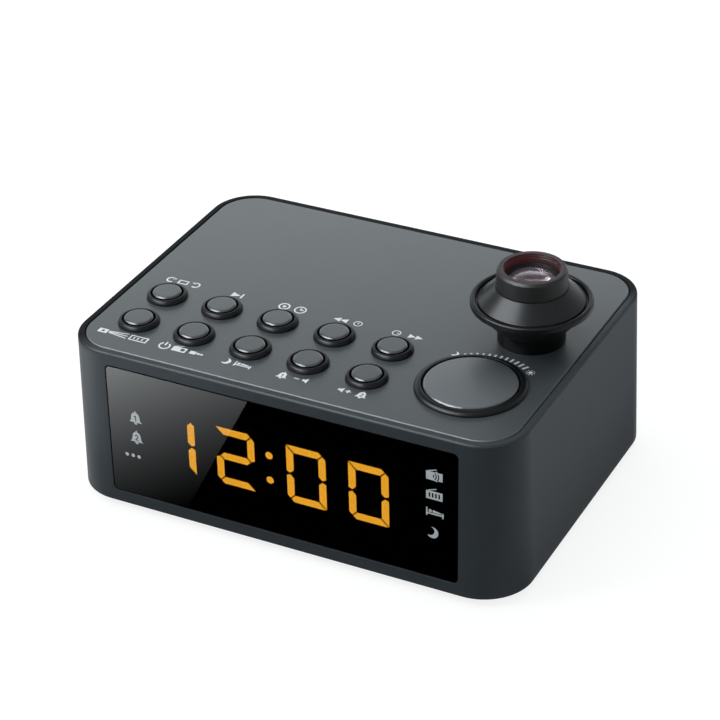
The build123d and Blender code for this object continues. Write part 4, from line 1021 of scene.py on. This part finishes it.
panel_marks = (
    beside("rotate_key", REAR_STEP, (rotate_sign(), 0.2, 1.18))
    + beside("preset_key", REAR_STEP, (skip_sign(), 0.2, 1.0))
    + beside("clock_set_key", REAR_STEP, ([ring(0, 0, 2.2, 1.6), [circle(0, 0, 0.7)]], -3.2, 1.0),
             (clock_face(True, True), 3.2, 1.05))
    + beside("hour_key", REAR_STEP, (two_arrows(-1), -3.2, 1.0), (clock_face(True, False), 3.6, 0.75))
    + beside("minute_key", REAR_STEP, (clock_face(False, True), -3.8, 0.75), (two_arrows(1), 3.6, 1.0))
    + beside("projector_key", FRONT_STEP, (beam_sign(), -0.4, 1.15))
    + beside("source_key", FRONT_STEP, (power_sign(), -6.0, 1.0),
             (radio_sign([circle(1.4, -0.1, 0.95, 16)]), 0.0, 0.9), (jack_sign(), 6.8, 0.85))
    + beside("sleep_key", FRONT_STEP, (moon_sign(), -3.9, 0.8), (bed_sign(), 2.6, 1.0))
    + beside("alarm_one_key", FRONT_STEP, (bell_sign(digit_one()), -4.4, 0.8),
             (speaker_sign(-1, False), 2.6, 0.9))
    + beside("alarm_two_key", FRONT_STEP, (speaker_sign(1, True), -3.5, 0.9),
             (bell_sign(digit_two()), 3.2, 0.8))
)

DIM_RADIUS = 20.4
DIM_FROM, DIM_TO, DIM_BARS = 120.0, 57.0, 12
DIM_SHORTEST, DIM_GROWTH, DIM_STROKE = 0.7, 1.9, 0.8
DIM_END_GAP = 9
SUN_RADIUS, SUN_RAYS = 0.75, 8
snooze_x, snooze_y = plan_middle("snooze_key")


def on_dim_arc(angle, out=0.0):
    """A point above the snooze key, on the arc of the dimmer sign."""
    a = math.radians(angle)
    return snooze_x + (DIM_RADIUS + out) * math.cos(a), snooze_y + (DIM_RADIUS + out) * math.sin(a)


for i in range(DIM_BARS):
    share = i / (DIM_BARS - 1)
    angle = DIM_FROM + (DIM_TO - DIM_FROM) * share
    bar = [on_dim_arc(angle), on_dim_arc(angle, DIM_SHORTEST + DIM_GROWTH * share)]
    panel_marks.append([line(bar, DIM_STROKE)])
panel_marks += shifted(moon_sign(), *on_dim_arc(DIM_FROM + DIM_END_GAP, 1.2), 0.62)
sun_x, sun_y = on_dim_arc(DIM_TO - DIM_END_GAP, 1.4)
panel_marks.append([circle(sun_x, sun_y, SUN_RADIUS, 16)])
for i in range(SUN_RAYS):
    a = math.tau * i / SUN_RAYS
    ray = [(sun_x + r * math.cos(a), sun_y + r * math.sin(a)) for r in (1.05, 1.6)]
    panel_marks.append([line(ray, 0.32)])

panel_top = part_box("top_panel")[1].z / MM
ink_layer("panel_print", panel_marks, lambda x, y, h: mm(x, y, panel_top + h), "case", ink)

# %% [markdown]
# The window carries signs too, in a greyer ink: two bells for the two alarms and a row of dots at the left,
# two radio bands, a bed and a moon at the right. Each is placed by its x and its height in millimetres. The
# front wall leans back a little towards the top, and the print follows it.

# %% Print the window
grey_ink, tree, shader = start_finish("grey_ink", 0.6)
toned = speckled(tree, 0.4, (0.50, 0.52, 0.54, 1), (0.58, 0.60, 0.62, 1), detail=4.0)
tree.links.new(toned, shader.inputs["Base Color"])

waves = [line(arc(-0.9, -0.1, r, -50, 50, 8), 0.4) for r in (0.7, 1.6, 2.5)]
bars = [rectangle(x - 0.3, -1.0, x + 0.3, 0.8) for x in (-1.8, -0.6, 0.6, 1.8)]
window_marks = (
    shifted(bell_sign(digit_one()), -56.2, 40.0)
    + shifted(bell_sign(digit_two()), -56.2, 32.0)
    + [[circle(x, 24.0, 0.7, 16)] for x in (-60.6, -58.2, -55.8)]
    + shifted(radio_sign(waves), 58.6, 48.2)
    + shifted(radio_sign(bars), 58.6, 40.6)
    + shifted(bed_sign(), 58.8, 33.8)
    + shifted(moon_sign(), 57.9, 25.7)
)
WALL_LEAN = math.tan(math.radians(1.5))
window_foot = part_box("display_window")[0] / MM


def on_window(x, z, h):
    """A point on the window at height z, raised h above the face."""
    return mm(x, window_foot.y + (z - window_foot.z) * WALL_LEAN - h, z)


ink_layer("window_print", window_marks, on_window, "case", grey_ink)

# %% [markdown]
# Three small signs stand above the sockets on the rear wall: a plug for the line input, a line over three
# dashes for direct current, and an aerial. The rear wall leans in like the front one. Seen from behind, left
# and right change places, so x is counted the other way there.

# %% Print the rear wall
SIGN_RISE = 7.5
SIGN_SCALE = 0.9
sign_z = middle("aerial_bushing").z / MM + SIGN_RISE
housing_low, housing_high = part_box("main_housing")
wall_foot = Vector((0, housing_high.y, housing_low.z)) / MM

dashes = [[rectangle(x - 0.5, -0.8, x + 0.5, -0.35)] for x in (-1.5, 0, 1.5)]
socket_signs = {
    "audio_jack": jack_sign(),
    "power_inlet": [[rectangle(-2.0, 0.35, 2.0, 0.8)]] + dashes,
    "aerial_bushing": [[line([(0, -2.0), (0, 1.9)], 0.4)], [line([(-1.5, 1.9), (0, 0.2), (1.5, 1.9)], 0.4)]],
}
rear_marks = []
for socket, marks in socket_signs.items():
    rear_marks += shifted(marks, -plan_middle(socket)[0], sign_z, SIGN_SCALE)


def on_rear_wall(x, z, h):
    """A point on the rear wall at height z, with x counted from behind, raised h above the wall."""
    return mm(-x, wall_foot.y - (z - wall_foot.z) * WALL_LEAN + h, z)


ink_layer("rear_print", rear_marks, on_rear_wall, "case", grey_ink)
